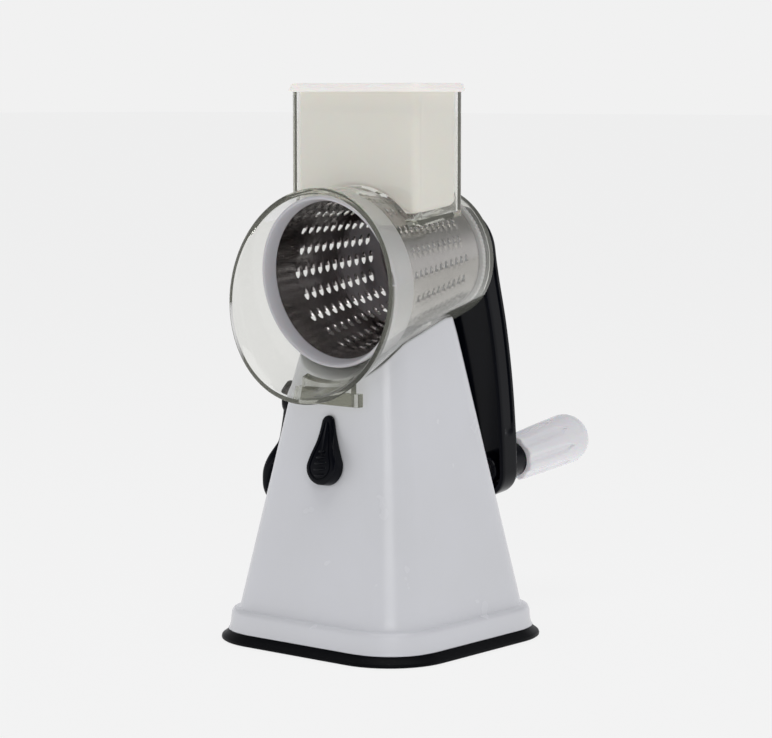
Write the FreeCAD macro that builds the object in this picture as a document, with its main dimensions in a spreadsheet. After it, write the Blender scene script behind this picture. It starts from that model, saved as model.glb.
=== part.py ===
import FreeCAD, Part
import Sketcher
import math
import os
import re

# Rotary cheese grater: a hollow tapering stand on a suction base, a clear hopper and barrel
# locked on top of it, a perforated cone drum in the barrel and a crank behind.
# Frame: origin at the centre of the stand's underside, +Z up, the drum's mouth faces -Y.

Vector = FreeCAD.Vector
Rotation = FreeCAD.Rotation
Placement = FreeCAD.Placement

doc = FreeCAD.newDocument("rotary_cheese_grater")

# ---------------------------------------------------------------- driving dimensions (mm, degrees)

DIMENSIONS = [
    ("lip_half", 66.05, "half width of the rubber lip on the table"),
    ("lip_top_half", 62.2, "half width of the lip under the skirt"),
    ("lip_corner", 33.0, "corner radius of the lip"),
    ("lip_height", 5.0, "height of the lip"),
    ("lip_bore_half", 54.0, "half width of the hole inside the lip"),
    ("skirt_half", 61.8, "half width of the stand's skirt at its bottom"),
    ("skirt_top_half", 60.6, "half width of the skirt at its top"),
    ("skirt_corner", 29.0, "corner radius of the skirt"),
    ("skirt_top", 15.5, "height of the skirt's top"),
    ("skirt_edge", 2.6, "rounding of the skirt's upper edge"),
    ("tower_half", 56.6, "half width of the tower where it leaves the skirt"),
    ("tower_corner", 23.0, "corner radius of the tower at the skirt"),
    ("tower_top_half", 29.15, "half width of the tower at its top"),
    ("tower_top_corner", 13.0, "corner radius of the tower at its top"),
    ("tower_top", 160.0, "height of the tower's top"),
    ("stand_wall", 2.5, "wall of the stand"),
    ("tilt", 7.0, "rise of the drum's axis towards the back"),
    ("axis_height", 184.07, "height of the drum's axis above the origin"),
    ("fit_gap", 0.3, "gap between pieces that slide or rest together"),
    ("turn_gap", 0.05, "radial clearance of a shaft in its bearing"),
    ("barrel_front", -24.0, "start of the barrel along the drum's axis"),
    ("barrel_front_radius", 44.2, "outer radius of the barrel at its start"),
    ("barrel_back", 49.0, "end of the barrel along the drum's axis"),
    ("barrel_back_radius", 33.0, "outer radius of the barrel at its end"),
    ("barrel_wall", 2.3, "wall of the barrel"),
    ("rim_radius", 52.0, "outer radius of the mouth's rim"),
    ("rim_wall", 2.8, "wall at the mouth's rim"),
    ("rim_out", 54.1, "distance of the rim's centre in front of the origin"),
    ("rim_height", 173.1, "height of the rim's centre"),
    ("rim_lean", 6.6, "forward lean of the rim's bottom"),
    ("hopper_half_width", 40.7, "half width of the hopper"),
    ("hopper_front", -21.8, "front wall of the hopper"),
    ("hopper_back", 14.6, "back wall of the hopper"),
    ("hopper_top", 270.6, "height of the hopper's rim"),
    ("hopper_corner", 4.0, "corner radius of the hopper"),
    ("hopper_wall", 2.6, "wall of the hopper"),
    ("hopper_ledge", 24.8, "height above the drum's axis of the ledges under the hopper's sides"),
    ("foot_bottom", 119.7, "underside of the clear locking foot"),
    ("foot_tab", 6.4, "height of the foot's side tabs"),
    ("foot_front", -41.0, "front face of the foot"),
    ("foot_back", -37.2, "back face of the foot"),
    ("foot_tab_half", 19.8, "half width of the foot over its tabs"),
    ("foot_neck_half", 15.6, "half width of the foot's neck"),
    ("tongue_half", 5.0, "half width of the locking tongue"),
    ("tongue_height", 2.6, "thickness of the locking tongue"),
    ("tongue_bottom", 122.9, "underside of the locking tongue"),
    ("tongue_back", -27.5, "inner end of the locking tongue"),
    ("hook_front", -30.3, "front face of the hook at the tongue's end"),
    ("hook_bottom", 120.2, "underside of the hook"),
    ("pusher_gap", 0.6, "gap between the pusher and the hopper"),
    ("pusher_base", 30.2, "height of the pusher's lowest edges above the drum's axis"),
    ("pusher_wall", 2.0, "wall of the pusher"),
    ("cap_thick", 4.2, "thickness of the pusher's cap"),
    ("cap_overhang", 1.7, "overhang of the cap over the hopper"),
    ("cap_plug", 5.0, "depth of the cap's plug inside the pusher"),
    ("drum_front", -34.0, "front end of the steel drum along the axis"),
    ("drum_front_radius", 39.4, "outer radius of the drum at its front"),
    ("drum_back", 41.0, "back end of the steel drum"),
    ("drum_back_radius", 28.6, "outer radius of the drum at its back"),
    ("drum_sheet", 0.6, "thickness of the drum's steel"),
    ("tooth_rows", 20.0, "rows of teeth round the drum"),
    ("teeth_per_row", 11.0, "teeth in a long row; the rows between have one less"),
    ("tooth_pitch", 4.83, "distance between teeth in a row"),
    ("tooth_start", -20.3, "first tooth of a long row along the axis"),
    ("tooth_hole_length", 3.4, "length of a tooth's hole round the drum"),
    ("tooth_hole_width", 2.2, "width of a tooth's hole along the drum"),
    ("ring_front", -41.0, "front edge of the drum's front ring"),
    ("ring_back", -26.5, "back edge of the drum's front ring"),
    ("ring_radius", 42.2, "outer radius of the front ring"),
    ("ring_back_radius", 40.6, "outer radius of the ring's back edge"),
    ("ring_bore", 39.0, "bore of the ring in front of the steel"),
    ("hub_radius", 30.1, "radius of the drum's rear hub at its rim"),
    ("hub_back", 44.6, "back face of the drum's hub"),
    ("hub_disc", 2.4, "thickness of the hub's disc"),
    ("hub_boss", 9.5, "radius of the hub's socket boss"),
    ("shaft_half", 4.0, "half width of the square drive on the shaft"),
    ("socket_half", 4.1, "half width of the hub's square socket"),
    ("shaft_radius", 6.0, "radius of the shaft in its bush"),
    ("bush_radius", 8.0, "outer radius of the bush"),
    ("bush_front", 45.4, "front face of the bush along the axis"),
    ("bush_back", 55.0, "back face of the bush along the axis"),
    ("bearing_boss", 11.0, "radius of the barrel's bearing boss"),
    ("bearing_end", 53.6, "end of the barrel's bearing boss"),
    ("bush_flange", 10.5, "radius of the bush's flange"),
    ("crank_radius", 119.0, "distance from the drum's axis to the handle's axis"),
    ("arm_hub_radius", 21.0, "radius of the crank arm's upper end"),
    ("arm_end_radius", 14.6, "radius of the crank arm's lower end"),
    ("arm_hub_back", 66.5, "back face of the arm at the hub"),
    ("arm_end_back", 80.0, "back face of the arm at the handle"),
    ("arm_depth", 12.6, "depth of the arm's channel section"),
    ("arm_floor", 3.0, "thickness of the arm's back wall"),
    ("arm_wall", 2.6, "wall of the arm's channel"),
    ("washer_seat", 6.5, "radius of the flat seat for the crank's washer"),
    ("collar_radius", 9.6, "radius of the black collar at the handle's root"),
    ("grip_front", 95.5, "root of the handle along the axis"),
    ("grip_root_radius", 12.2, "radius of the handle at its root"),
    ("grip_end", 141.0, "centre of the handle's dome along the axis"),
    ("grip_end_radius", 13.6, "radius of the handle's dome"),
    ("axle_radius", 3.5, "radius of the handle's steel axle"),
    ("axle_head_radius", 5.5, "radius of the axle's end screw head"),
    ("knob_height", 110.4, "height of the lock knob's pivot on the front face"),
    ("knob_neck", 3.9, "radius of the knob's upper end"),
    ("knob_radius", 9.1, "radius of the knob's round paddle"),
    ("knob_reach", 21.4, "distance from the knob's pivot to its paddle"),
    ("knob_turned", 8.6, "angle of the locked knob from straight down"),
    ("knob_back", 0.5, "gap between the knob and the front face"),
    ("knob_thin", 2.4, "height of the knob's outer face at its pivot"),
    ("knob_thick", 7.4, "height of the knob's outer face at its paddle"),
    ("knob_shaft_radius", 3.0, "radius of the knob's shaft"),
    ("dog_reach", 12.6, "reach of the latch dog above the knob's pivot"),
    ("dog_radius", 5.0, "radius of the latch dog's eye"),
    ("dog_thick", 2.4, "thickness of the latch dog"),
    ("lever_height", 117.0, "height of the suction lever's pivot"),
    ("lever_y", -16.0, "distance of the lever's pivot from the middle plane"),
    ("lever_hub_radius", 7.5, "radius of the lever's hub"),
    ("lever_face", -39.8, "inner face of the lever's hub"),
    ("lever_thick", 7.0, "thickness of the lever's hub"),
    ("lever_bush_radius", 4.6, "outer radius of the lever's bush"),
    ("lever_tube_radius", 7.0, "radius of the housing's tube round the lever's bush"),
    ("lever_tube_end", -12.0, "inner end of that tube"),
    ("lever_axle_radius", 3.0, "radius of the lever's axle"),
    ("cam_radius", 6.0, "radius of the lift cam under the crosshead at rest"),
    ("cam_half", 4.0, "half thickness of the lift cam"),
    ("crosshead_thick", 3.5, "thickness of the lift rod's crosshead"),
    ("crosshead_front", -20.0, "front end of the crosshead"),
    ("lift", 4.0, "rise of the lift rod for a quarter turn of the lever"),
    ("rod_radius", 3.5, "radius of the lift rod"),
    ("rod_bottom", 12.0, "foot of the lift rod"),
    ("crosshead_bottom", 123.7, "underside of the lift rod's crosshead"),
    ("plate_bottom", 7.5, "underside of the base plate"),
    ("plate_thick", 2.5, "thickness of the base plate"),
    ("turret_radius", 15.0, "outer radius of the base plate's guide turret"),
    ("turret_bore", 12.4, "bore of the turret round the cup's boss"),
    ("turret_top", 27.0, "top of the guide turret"),
    ("cup_radius", 48.0, "radius of the suction cup"),
    ("cup_thick", 2.0, "thickness of the cup's skin"),
    ("cup_boss", 9.0, "radius of the cup's middle boss"),
    ("screw_at", 44.5, "distance of a base screw from the middle planes"),
    ("screw_radius", 1.3, "radius of a base screw's shank"),
]

dims = doc.addObject("Spreadsheet::Sheet", "Dims")
for line, (alias, number, meaning) in enumerate(DIMENSIONS, start=1):
    dims.set(f"A{line}", meaning)
    dims.set(f"B{line}", str(number))
    dims.setAlias(f"B{line}", alias)
doc.recompute()

ALIASES = {alias for alias, _, _ in DIMENSIONS}


def size(alias):
    """The number that a cell of the sheet holds."""
    return float(dims.get(alias))


def linked(text):
    """An expression in which each alias points at its cell of the sheet."""
    return re.sub(r"[a-z_]+", lambda word: "Dims." * (word.group() in ALIASES) + word.group(), text)


def bind(feature, **expressions):
    for prop, text in expressions.items():
        feature.setExpression(prop.replace("__", "."), linked(text))
    return feature


# ---------------------------------------------------------------- primitives bound to the sheet

TURNS = {
    "Z": Rotation(),
    "X": Rotation(Vector(0, 1, 0), 90),
    "-X": Rotation(Vector(0, 1, 0), -90),
    "Y": Rotation(Vector(1, 0, 0), -90),
}


def put(feature, x="0", y="0", z="0", along="Z"):
    """Places a primitive: its own axis points along the one named, its start lies at x, y, z."""
    feature.Placement = Placement(Vector(), TURNS[along])
    return bind(feature, Placement__Base__x=x, Placement__Base__y=y, Placement__Base__z=z)


def cylinder(radius, height, **where):
    return put(bind(doc.addObject("Part::Cylinder", "Cylinder"), Radius=radius, Height=height), **where)


def cone(first, second, height, **where):
    shape = doc.addObject("Part::Cone", "Cone")
    return put(bind(shape, Radius1=first, Radius2=second, Height=height), **where)


def box(x, y, z, wide, deep, high):
    """A box from its lowest corner."""
    shape = doc.addObject("Part::Box", "Box")
    return put(bind(shape, Length=wide, Width=deep, Height=high), x=x, y=y, z=z)


def centred_box(half_wide, y, z, deep, high):
    """A box that is symmetric about the middle plane x = 0."""
    return box(f"-({half_wide})", y, z, f"2 * ({half_wide})", deep, high)


def fuse(*pieces):
    joined = doc.addObject("Part::MultiFuse", "Fuse")
    joined.Shapes = list(pieces)
    return joined


def cut(base, *tools):
    result = doc.addObject("Part::Cut", "Cut")
    result.Base = base
    result.Tool = tools[0] if len(tools) == 1 else fuse(*tools)
    return result


def common(first, second):
    both = doc.addObject("Part::Common", "Common")
    both.Base = first
    both.Tool = second
    return both


def made(shape, name="Shape"):
    """A feature whose shape is worked out from the sheet in code."""
    feature = doc.addObject("Part::Feature", name)
    feature.Shape = shape
    return feature


def ring(outer, inner, height, **where):
    """A plain washer or sleeve."""
    start = where.get("z", "0")
    hole = dict(where, z=f"{start} - 1")
    return cut(cylinder(outer, height, **where), cylinder(inner, f"{height} + 2", **hole))


# ---------------------------------------------------------------- placing finished sub-parts

PARTS = []


def keep(feature, label):
    """Names a finished sub-part and lists it for export."""
    feature.Label = label
    PARTS.append(feature)
    return feature


def on_axis(feature, along="0", down="0"):
    """Places a piece drawn with +Z along the drum's axis, pointing back, and +Y down. along is its
    start on the axis, measured from the axis's point above the origin, down its distance below."""
    feature.Placement = Placement(Vector(), Rotation(Vector(-1, 0, 0), 90 - size("tilt")))
    bind(feature, Placement__Rotation__Angle="90 - tilt")
    bind(feature, Placement__Base__y=f"({along}) * cos(tilt) + ({down}) * sin(tilt)")
    return bind(feature, Placement__Base__z=f"axis_height + ({along}) * sin(tilt) - ({down}) * cos(tilt)")


# ---------------------------------------------------------------- rounded squares and lofts

def rounded_square(body, height, half, corner, half_deep=None, middle="0"):
    """A sketch of a rounded square or rectangle on the body's XY plane, at a height."""
    half_deep = half_deep or half
    sketch = body.newObject("Sketcher::SketchObject", "Outline")
    plane = [item for item in body.Origin.OriginFeatures if item.Role == "XY_Plane"][0]
    sketch.AttachmentSupport = (plane, [""])
    sketch.MapMode = "FlatFace"
    bind(sketch, AttachmentOffset__Base__z=height, AttachmentOffset__Base__y=middle)
    sides = [(1, 0), (0, 1), (-1, 0), (0, -1)]
    wide, turn = 50.0, 10.0
    for across, up in sides:
        start = Vector(across * wide + up * (wide - turn), up * wide - across * (wide - turn), 0)
        end = Vector(across * wide - up * (wide - turn), up * wide + across * (wide - turn), 0)
        sketch.addGeometry(Part.LineSegment(start, end), False)
    for index in range(4):
        first, second = sides[index], sides[(index + 1) % 4]
        centre = Vector(first[0] + second[0], first[1] + second[1], 0) * (wide - turn)
        circle = Part.Circle(centre, Vector(0, 0, 1), turn)
        begin = math.radians(90 * index)
        sketch.addGeometry(Part.ArcOfCircle(circle, begin, begin + math.pi / 2), False)
    rules = []
    for index in range(4):
        rules.append(Sketcher.Constraint("Tangent", index, 2, 4 + index, 1))
        rules.append(Sketcher.Constraint("Tangent", 4 + index, 2, (index + 1) % 4, 1))
        rules.append(Sketcher.Constraint("Vertical" if index % 2 == 0 else "Horizontal", index))
    sketch.addConstraint(rules)
    lengths = [
        ("DistanceX", (-1, 1, 0, 1), wide, half),
        ("DistanceX", (2, 1, -1, 1), wide, half),
        ("DistanceY", (-1, 1, 1, 1), wide, half_deep),
        ("DistanceY", (3, 1, -1, 1), wide, half_deep),
    ]
    for kind, ends, start_value, text in lengths:
        number = sketch.addConstraint(Sketcher.Constraint(kind, *ends, start_value))
        sketch.setExpression(f"Constraints[{number}]", linked(text))
    for index in range(4):
        number = sketch.addConstraint(Sketcher.Constraint("Radius", 4 + index, turn))
        sketch.setExpression(f"Constraints[{number}]", linked(corner))
    return sketch


def loft(name, lower, upper):
    """A body between two rounded squares, each given as (height, half, corner)."""
    body = doc.addObject("PartDesign::Body", name)
    first = rounded_square(body, *lower)
    second = rounded_square(body, *upper)
    solid = body.newObject("PartDesign::AdditiveLoft", "Loft")
    solid.Profile = first
    solid.Sections = [second]
    solid.Ruled = True
    doc.recompute()
    return body


def prism(name, bottom, height, half, corner, half_deep=None, middle="0"):
    """A body with a rounded rectangle as its section."""
    body = doc.addObject("PartDesign::Body", name)
    outline = rounded_square(body, bottom, half, corner, half_deep, middle)
    pad = body.newObject("PartDesign::Pad", "Pad")
    pad.Profile = outline
    bind(pad, Length=height)
    doc.recompute()
    return body


# ---------------------------------------------------------------- outlines drawn point by point

def wire_face(points, place):
    """A face inside a smooth or straight outline. place turns two outline numbers into a point;
    a list inside the outline is one smooth curve, a pair is a corner."""
    edges = []
    last = None
    first = None
    for item in points + [points[0]]:
        run = item if isinstance(item, list) else [item]
        spots = [place(*pair) for pair in run]
        if last is not None and last.distanceToPoint(spots[0]) > 1e-6:
            edges.append(Part.LineSegment(last, spots[0]).toShape())
        if first is None:
            first = spots[0]
        elif len(edges) and spots[0].distanceToPoint(first) < 1e-6:
            break
        if len(spots) > 2:
            curve = Part.BSplineCurve()
            curve.interpolate(spots)
            edges.append(curve.toShape())
        last = spots[-1]
    return Part.Face(Part.Wire(edges))


def link_outline(top_radius, end_radius, distance):
    """The outline of a tapering link with two round ends: its top centre at 0, 0, its lower
    centre at 0, distance. Returns a face in the XY plane."""
    lean = math.asin((top_radius - end_radius) / distance)
    across, along = math.cos(lean), math.sin(lean)
    right_top = Vector(top_radius * across, top_radius * along, 0)
    left_top = Vector(-right_top.x, right_top.y, 0)
    right_end = Vector(end_radius * across, distance + end_radius * along, 0)
    left_end = Vector(-right_end.x, right_end.y, 0)
    edges = [
        Part.LineSegment(right_top, right_end).toShape(),
        Part.Arc(right_end, Vector(0, distance + end_radius, 0), left_end).toShape(),
        Part.LineSegment(left_end, left_top).toShape(),
        Part.Arc(left_top, Vector(0, -top_radius, 0), right_top).toShape(),
    ]
    return Part.Face(Part.Wire(edges))


# ---------------------------------------------------------------- the clear housing's form

def rim_circle(radius):
    """A circle in the plane of the mouth's rim, facing forwards."""
    circle = bind(doc.addObject("Part::Circle", "Rim"), Radius=radius)
    circle.Placement = Placement(Vector(), Rotation(Vector(1, 0, 0), 90 - size("rim_lean")))
    return bind(circle, Placement__Base__y="-rim_out", Placement__Base__z="rim_height",
                Placement__Rotation__Angle="90 - rim_lean")


def barrel_circle(radius):
    """A circle round the drum's axis at the barrel's start, facing forwards."""
    circle = bind(doc.addObject("Part::Circle", "Start"), Radius=radius)
    circle.Placement = Placement(Vector(), Rotation(Vector(1, 0, 0), 90 + size("tilt")))
    return bind(circle, Placement__Base__y="barrel_front * cos(tilt)",
                Placement__Base__z="axis_height + barrel_front * sin(tilt)",
                Placement__Rotation__Angle="90 + tilt")


def barrel_form(grow, rim_grow, back_grow):
    """The barrel's cone with the scoop of its mouth, its surface moved out by grow."""
    tube = cone(f"barrel_front_radius + {grow}", f"barrel_back_radius + {grow}",
                f"barrel_back - barrel_front + {back_grow}")
    on_axis(tube, along="barrel_front")
    scoop = doc.addObject("Part::Loft", "Scoop")
    scoop.Sections = [barrel_circle(f"barrel_front_radius + {grow}"), rim_circle(f"rim_radius + {rim_grow}")]
    scoop.Solid = True
    scoop.Ruled = True
    return tube, scoop


# ---------------------------------------------------------------- stand

FACE_SLOPE = "(tower_half - tower_top_half) / (tower_top - skirt_top)"


def face_half(height):
    """Half width of the tower's outer face at a height."""
    return f"(tower_half - {FACE_SLOPE} * ({height} - skirt_top))"


def round_upper_edge(body, height, radius):
    """Rounds the edges of a body's upper face."""
    level = size(height)
    tip = body.Tip
    names = [
        f"Edge{number}"
        for number, edge in enumerate(tip.Shape.Edges, start=1)
        if all(abs(corner.Z - level) < 1e-4 for corner in edge.Vertexes)
    ]
    fillet = body.newObject("PartDesign::Fillet", "Fillet")
    fillet.Base = (tip, names)
    bind(fillet, Radius=radius)
    doc.recompute()
    return body


def on_front_face(feature, lift="0"):
    """Places a piece drawn with +Z out of the stand's front face and +Y up it, its origin at the
    lock knob's pivot. lift is its start, measured out of the face."""
    slope = (size("tower_half") - size("tower_top_half")) / (size("tower_top") - size("skirt_top"))
    feature.Placement = Placement(Vector(), Rotation(Vector(1, 0, 0), 90 - math.degrees(math.atan(slope))))
    bind(feature, Placement__Rotation__Angle=f"90 deg - atan({FACE_SLOPE})")
    bind(feature, Placement__Base__y=f"-{face_half('knob_height')} - ({lift}) * cos(atan({FACE_SLOPE}))")
    return bind(feature, Placement__Base__z=f"knob_height + ({lift}) * sin(atan({FACE_SLOPE}))")


def base_housing():
    """White stand: skirt and tapering tower in one shell, with a cradle for the barrel on top,
    a pad and tube for the lever's bush on its left, bosses for the base screws and two ribs
    that guide the lift rod's crosshead."""
    skirt = prism("Skirt", "lip_height", "skirt_top - lip_height", "skirt_half", "skirt_corner")
    bind(skirt.Tip, TaperAngle="-atan((skirt_half - skirt_top_half) / (skirt_top - lip_height))")
    doc.recompute()
    round_upper_edge(skirt, "skirt_top", "skirt_edge")
    tower = loft("Tower", ("skirt_top - 4", "tower_half + 0.6", "tower_corner"),
                 ("tower_top", "tower_top_half", "tower_top_corner"))
    lever_pad = cylinder("lever_hub_radius + 0.4", "8", x="lever_face + 0.4", y="lever_y", z="lever_height",
                         along="X")
    skirt_room = loft("SkirtRoom", ("lip_height - 1", "skirt_half - stand_wall", "skirt_corner - stand_wall"),
                      ("skirt_top - stand_wall", "skirt_top_half - stand_wall", "skirt_corner - stand_wall"))
    tower_room = loft("TowerRoom", ("lip_height", "tower_half + 1 - stand_wall", "tower_corner - stand_wall"),
                      ("tower_top + 1", "tower_top_half - stand_wall", "tower_top_corner - stand_wall"))
    ceiling = barrel_form("fit_gap + stand_wall", "fit_gap + stand_wall", "5")
    room = cut(fuse(skirt_room, tower_room), *ceiling)
    shell = cut(fuse(skirt, tower, lever_pad), room)
    tube = cylinder("lever_tube_radius", "lever_tube_end - lever_face - 3",
                    x="lever_face + 3", y="lever_y", z="lever_height", along="X")
    ribs = [
        box(start, "crosshead_front", "crosshead_bottom + 2", "2", "12", "12")
        for start in ("cam_half + fit_gap", "-(cam_half + fit_gap) - 2")
    ]
    bosses = []
    holes = []
    for side in (1, -1):
        for end in (1, -1):
            spot = dict(x=f"{side} * screw_at", y=f"{end} * screw_at")
            bosses.append(cylinder("4", "15", z="plate_bottom + plate_thick + 0.2", **spot))
            holes.append(cylinder("screw_radius + 0.1", "14", z="plate_bottom", **spot))
    holes.append(cylinder("lever_bush_radius + 0.05", "60", x="lever_face - 10", y="lever_y",
                          z="lever_height", along="X"))
    holes.append(on_front_face(cylinder("knob_shaft_radius + turn_gap", "20"), lift="-10"))
    holes.append(centred_box("tongue_half + 0.5", "-45", "hook_bottom - 0.3", "15",
                             "tongue_bottom + tongue_height - hook_bottom + 0.7"))
    saddle = barrel_form("fit_gap", "fit_gap", "5")
    return keep(cut(fuse(shell, tube, *ribs, *bosses), *holes, *saddle), "base_housing")


def base_plate():
    """White plate that closes the skirt from below, with a turret that guides the lift rod."""
    plate = prism("Plate", "plate_bottom", "plate_thick", "skirt_top_half - stand_wall - fit_gap",
                  "skirt_corner - stand_wall")
    turret = cylinder("turret_radius", "turret_top - plate_bottom", z="plate_bottom")
    room = cylinder("turret_bore", "turret_top - plate_bottom - 3 + 1", z="plate_bottom - 1")
    holes = [cylinder("rod_radius + turn_gap", "20", z="turret_top - 10")]
    for side in (1, -1):
        for end in (1, -1):
            holes.append(cylinder("screw_radius + 0.3", "10", x=f"{side} * screw_at", y=f"{end} * screw_at",
                                  z="plate_bottom - 3"))
    return keep(cut(fuse(plate, turret), room, *holes), "base_plate")


def foot_ring():
    """Black rubber ring that the stand rests on: a flared lip below the skirt and a step inside it."""
    lip = loft("Lip", ("0", "lip_half", "lip_corner"),
               ("lip_height - 0.05", "lip_top_half", "lip_corner - lip_half + lip_top_half"))
    step = prism("Step", "lip_height - 1", "plate_bottom - lip_height + 0.95",
                 "skirt_top_half - stand_wall - fit_gap", "skirt_corner - stand_wall")
    bore = prism("Bore", "-1", "plate_bottom + 2", "lip_bore_half", "22")
    return keep(cut(fuse(lip, step), bore), "foot_ring")


def suction_cup():
    """Black rubber cup: a thin round skin with a boss in its middle for the lift rod."""
    skin = cylinder("cup_radius", "cup_thick", z="0.5")
    boss = cylinder("cup_boss", "rod_bottom - 0.5", z="0.5")
    recess = cylinder("cup_boss - 1.5", "2.5", z="0.3")
    hole = cylinder("2.2", "20", z="-1")
    return keep(cut(fuse(skin, boss), recess, hole), "suction_cup")


def lift_rod():
    """White rod that pulls the cup up, with a crosshead that rests on the lift cam."""
    rod = cylinder("rod_radius", "crosshead_bottom - rod_bottom + 1", z="rod_bottom")
    head = centred_box("cam_half", "crosshead_front", "crosshead_bottom", "4 - crosshead_front",
                       "crosshead_thick")
    hole = cylinder("2.05", "12", z="rod_bottom - 1")
    return keep(cut(fuse(rod, head), hole), "lift_rod")


def cup_fastener():
    """Steel screw and washer that hold the cup on the rod."""
    keep(ring("cup_boss - 2", "2.2", "0.8", z="2"), "cup_washer")
    keep(fuse(cylinder("4", "1.4", z="0.55"), cylinder("2", "19", z="0.6")), "cup_screw")


def base_screws():
    """Four screws that hold the base plate up against the stand's bosses."""
    screws = []
    for side in (1, -1):
        for end in (1, -1):
            spot = dict(x=f"{side} * screw_at", y=f"{end} * screw_at")
            screws.append(cylinder("3.0", "2", z="plate_bottom - 2.05", **spot))
            screws.append(cylinder("screw_radius", "13", z="plate_bottom - 1", **spot))
    return keep(fuse(*screws), "base_screws")


# ---------------------------------------------------------------- suction lever and lift cam

def lever_plane(along, up):
    """A point of the lever's outline, seen from the left: along is towards the back."""
    return Vector(size("lever_face") + 10, size("lever_y") + along, size("lever_height") + up)


def suction_lever():
    """Black lever on the stand's left: a round hub, a thin neck that follows the stand's slope and
    a teardrop paddle that stands off at its tip."""
    hub = size("lever_hub_radius")
    outline = [
        [(-5.0, -10.5), (-5.0, -16.0), (-5.7, -21.2), (-9.6, -28.5), (-10.9, -37.0), (-9.6, -43.5), (-5.5, -49.8),
         (0.0, -53.0), (5.5, -49.8), (9.6, -43.5), (10.9, -37.0), (9.6, -28.5), (5.7, -21.2), (5.0, -16.0),
         (5.0, -10.5)],
        [(5.4, -5.6), (hub, 0.0), (0.0, hub), (-hub, 0.0), (-5.4, -5.6)],
    ]
    plan = bind_extrusion(wire_face(outline, lever_plane), Vector(-1, 0, 0), "40")
    face, thick = size("lever_face"), size("lever_thick")

    def side(out, up):
        return Vector(face - out, size("lever_y") - 20, size("lever_height") + up)

    profile = [
        (0.0, hub + 1), (thick, hub + 1),
        [(thick, 0.0), (thick + 1.2, -5.7), (thick + 2.0, -10.5), (thick + 2.8, -16.0), (thick + 3.8, -21.5),
         (thick + 7.1, -28.5), (thick + 9.2, -35.0), (thick + 10.2, -42.0), (thick + 11.0, -48.0),
         (thick + 11.8, -54.5)],
        [(thick + 10.2, -54.5), (thick + 8.3, -48.0), (thick + 5.8, -41.0), (thick + 3.0, -34.0), (7.0, -28.0),
         (5.0, -21.0), (3.4, -15.0), (1.6, -10.5), (0.0, -7.6)],
    ]
    section = bind_extrusion(wire_face(profile, side), Vector(0, 1, 0), "40")
    bore = cylinder("lever_axle_radius + 0.02", "5",
                    x="lever_face - 4", y="lever_y", z="lever_height", along="X")
    return keep(cut(common(plan, section), bore), "suction_lever")


def bind_extrusion(face, direction, length):
    """Extrudes a face that was drawn in code, by a length from the sheet."""
    push = doc.addObject("Part::Extrusion", "Extrusion")
    push.Base = made(face, "Face")
    push.DirMode = "Custom"
    push.Dir = direction
    push.Solid = True
    return bind(push, LengthFwd=length)


def lever_axle():
    """Steel axle from the lever's hub to the cam."""
    axle = cylinder("lever_axle_radius", "cam_half + 0.2 - lever_face + 3.8", x="lever_face - 3.8", y="lever_y",
                    z="lever_height", along="X")
    hole = cylinder("1.5", "9", x="cam_half - 8.6", y="lever_y", z="lever_height", along="X")
    return keep(cut(axle, hole), "lever_axle")


def lever_bush():
    """Plastic sleeve in the housing's tube that the axle turns in."""
    return keep(ring_along("lever_bush_radius", "lever_axle_radius + turn_gap",
                           "lever_face + 0.5", "lever_tube_end"),
                "lever_bush")


def ring_along(outer, inner, start, end):
    """A sleeve on the lever's axis between two distances from the middle plane."""
    where = dict(y="lever_y", z="lever_height", along="X")
    return cut(cylinder(outer, f"{end} - ({start})", x=start, **where),
               cylinder(inner, f"{end} - ({start}) + 2", x=f"{start} - 1", **where))


def lift_cam():
    """Spiral cam whose radius grows evenly, so the rod rises evenly as the lever turns."""
    growth = size("lift") / (math.pi / 2)
    first, last = math.radians(-25), math.radians(120)
    steps = 12
    spiral = []
    for step in range(steps + 1):
        turn = first + (last - first) * step / steps
        radius = size("cam_radius") + growth * turn
        spiral.append((radius * math.sin(turn), radius * math.cos(turn)))
    low = size("cam_radius") - 1.2
    turns = [math.radians(angle) for angle in (200, 250, 300)]
    back = [(low * math.sin(turn), low * math.cos(turn)) for turn in turns]

    def spot(along, up):
        return Vector(-size("cam_half"), size("lever_y") + along, size("lever_height") + up)

    disc = bind_extrusion(wire_face([spiral, back], spot), Vector(1, 0, 0), "2 * cam_half")
    bore = cylinder("lever_axle_radius + 0.02", "20",
                    x="-cam_half - 5", y="lever_y", z="lever_height", along="X")
    return keep(cut(disc, bore), "lift_cam")


def cam_screw():
    """Screw and washer head that hold the cam on the axle's end."""
    head = cylinder("4.2", "1.8", x="cam_half + 0.25", y="lever_y", z="lever_height", along="X")
    shank = cylinder("1.4", "8", x="cam_half - 7.5", y="lever_y", z="lever_height", along="X")
    return keep(fuse(head, shank), "cam_screw")


# ---------------------------------------------------------------- front lock knob and latch dog

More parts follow.
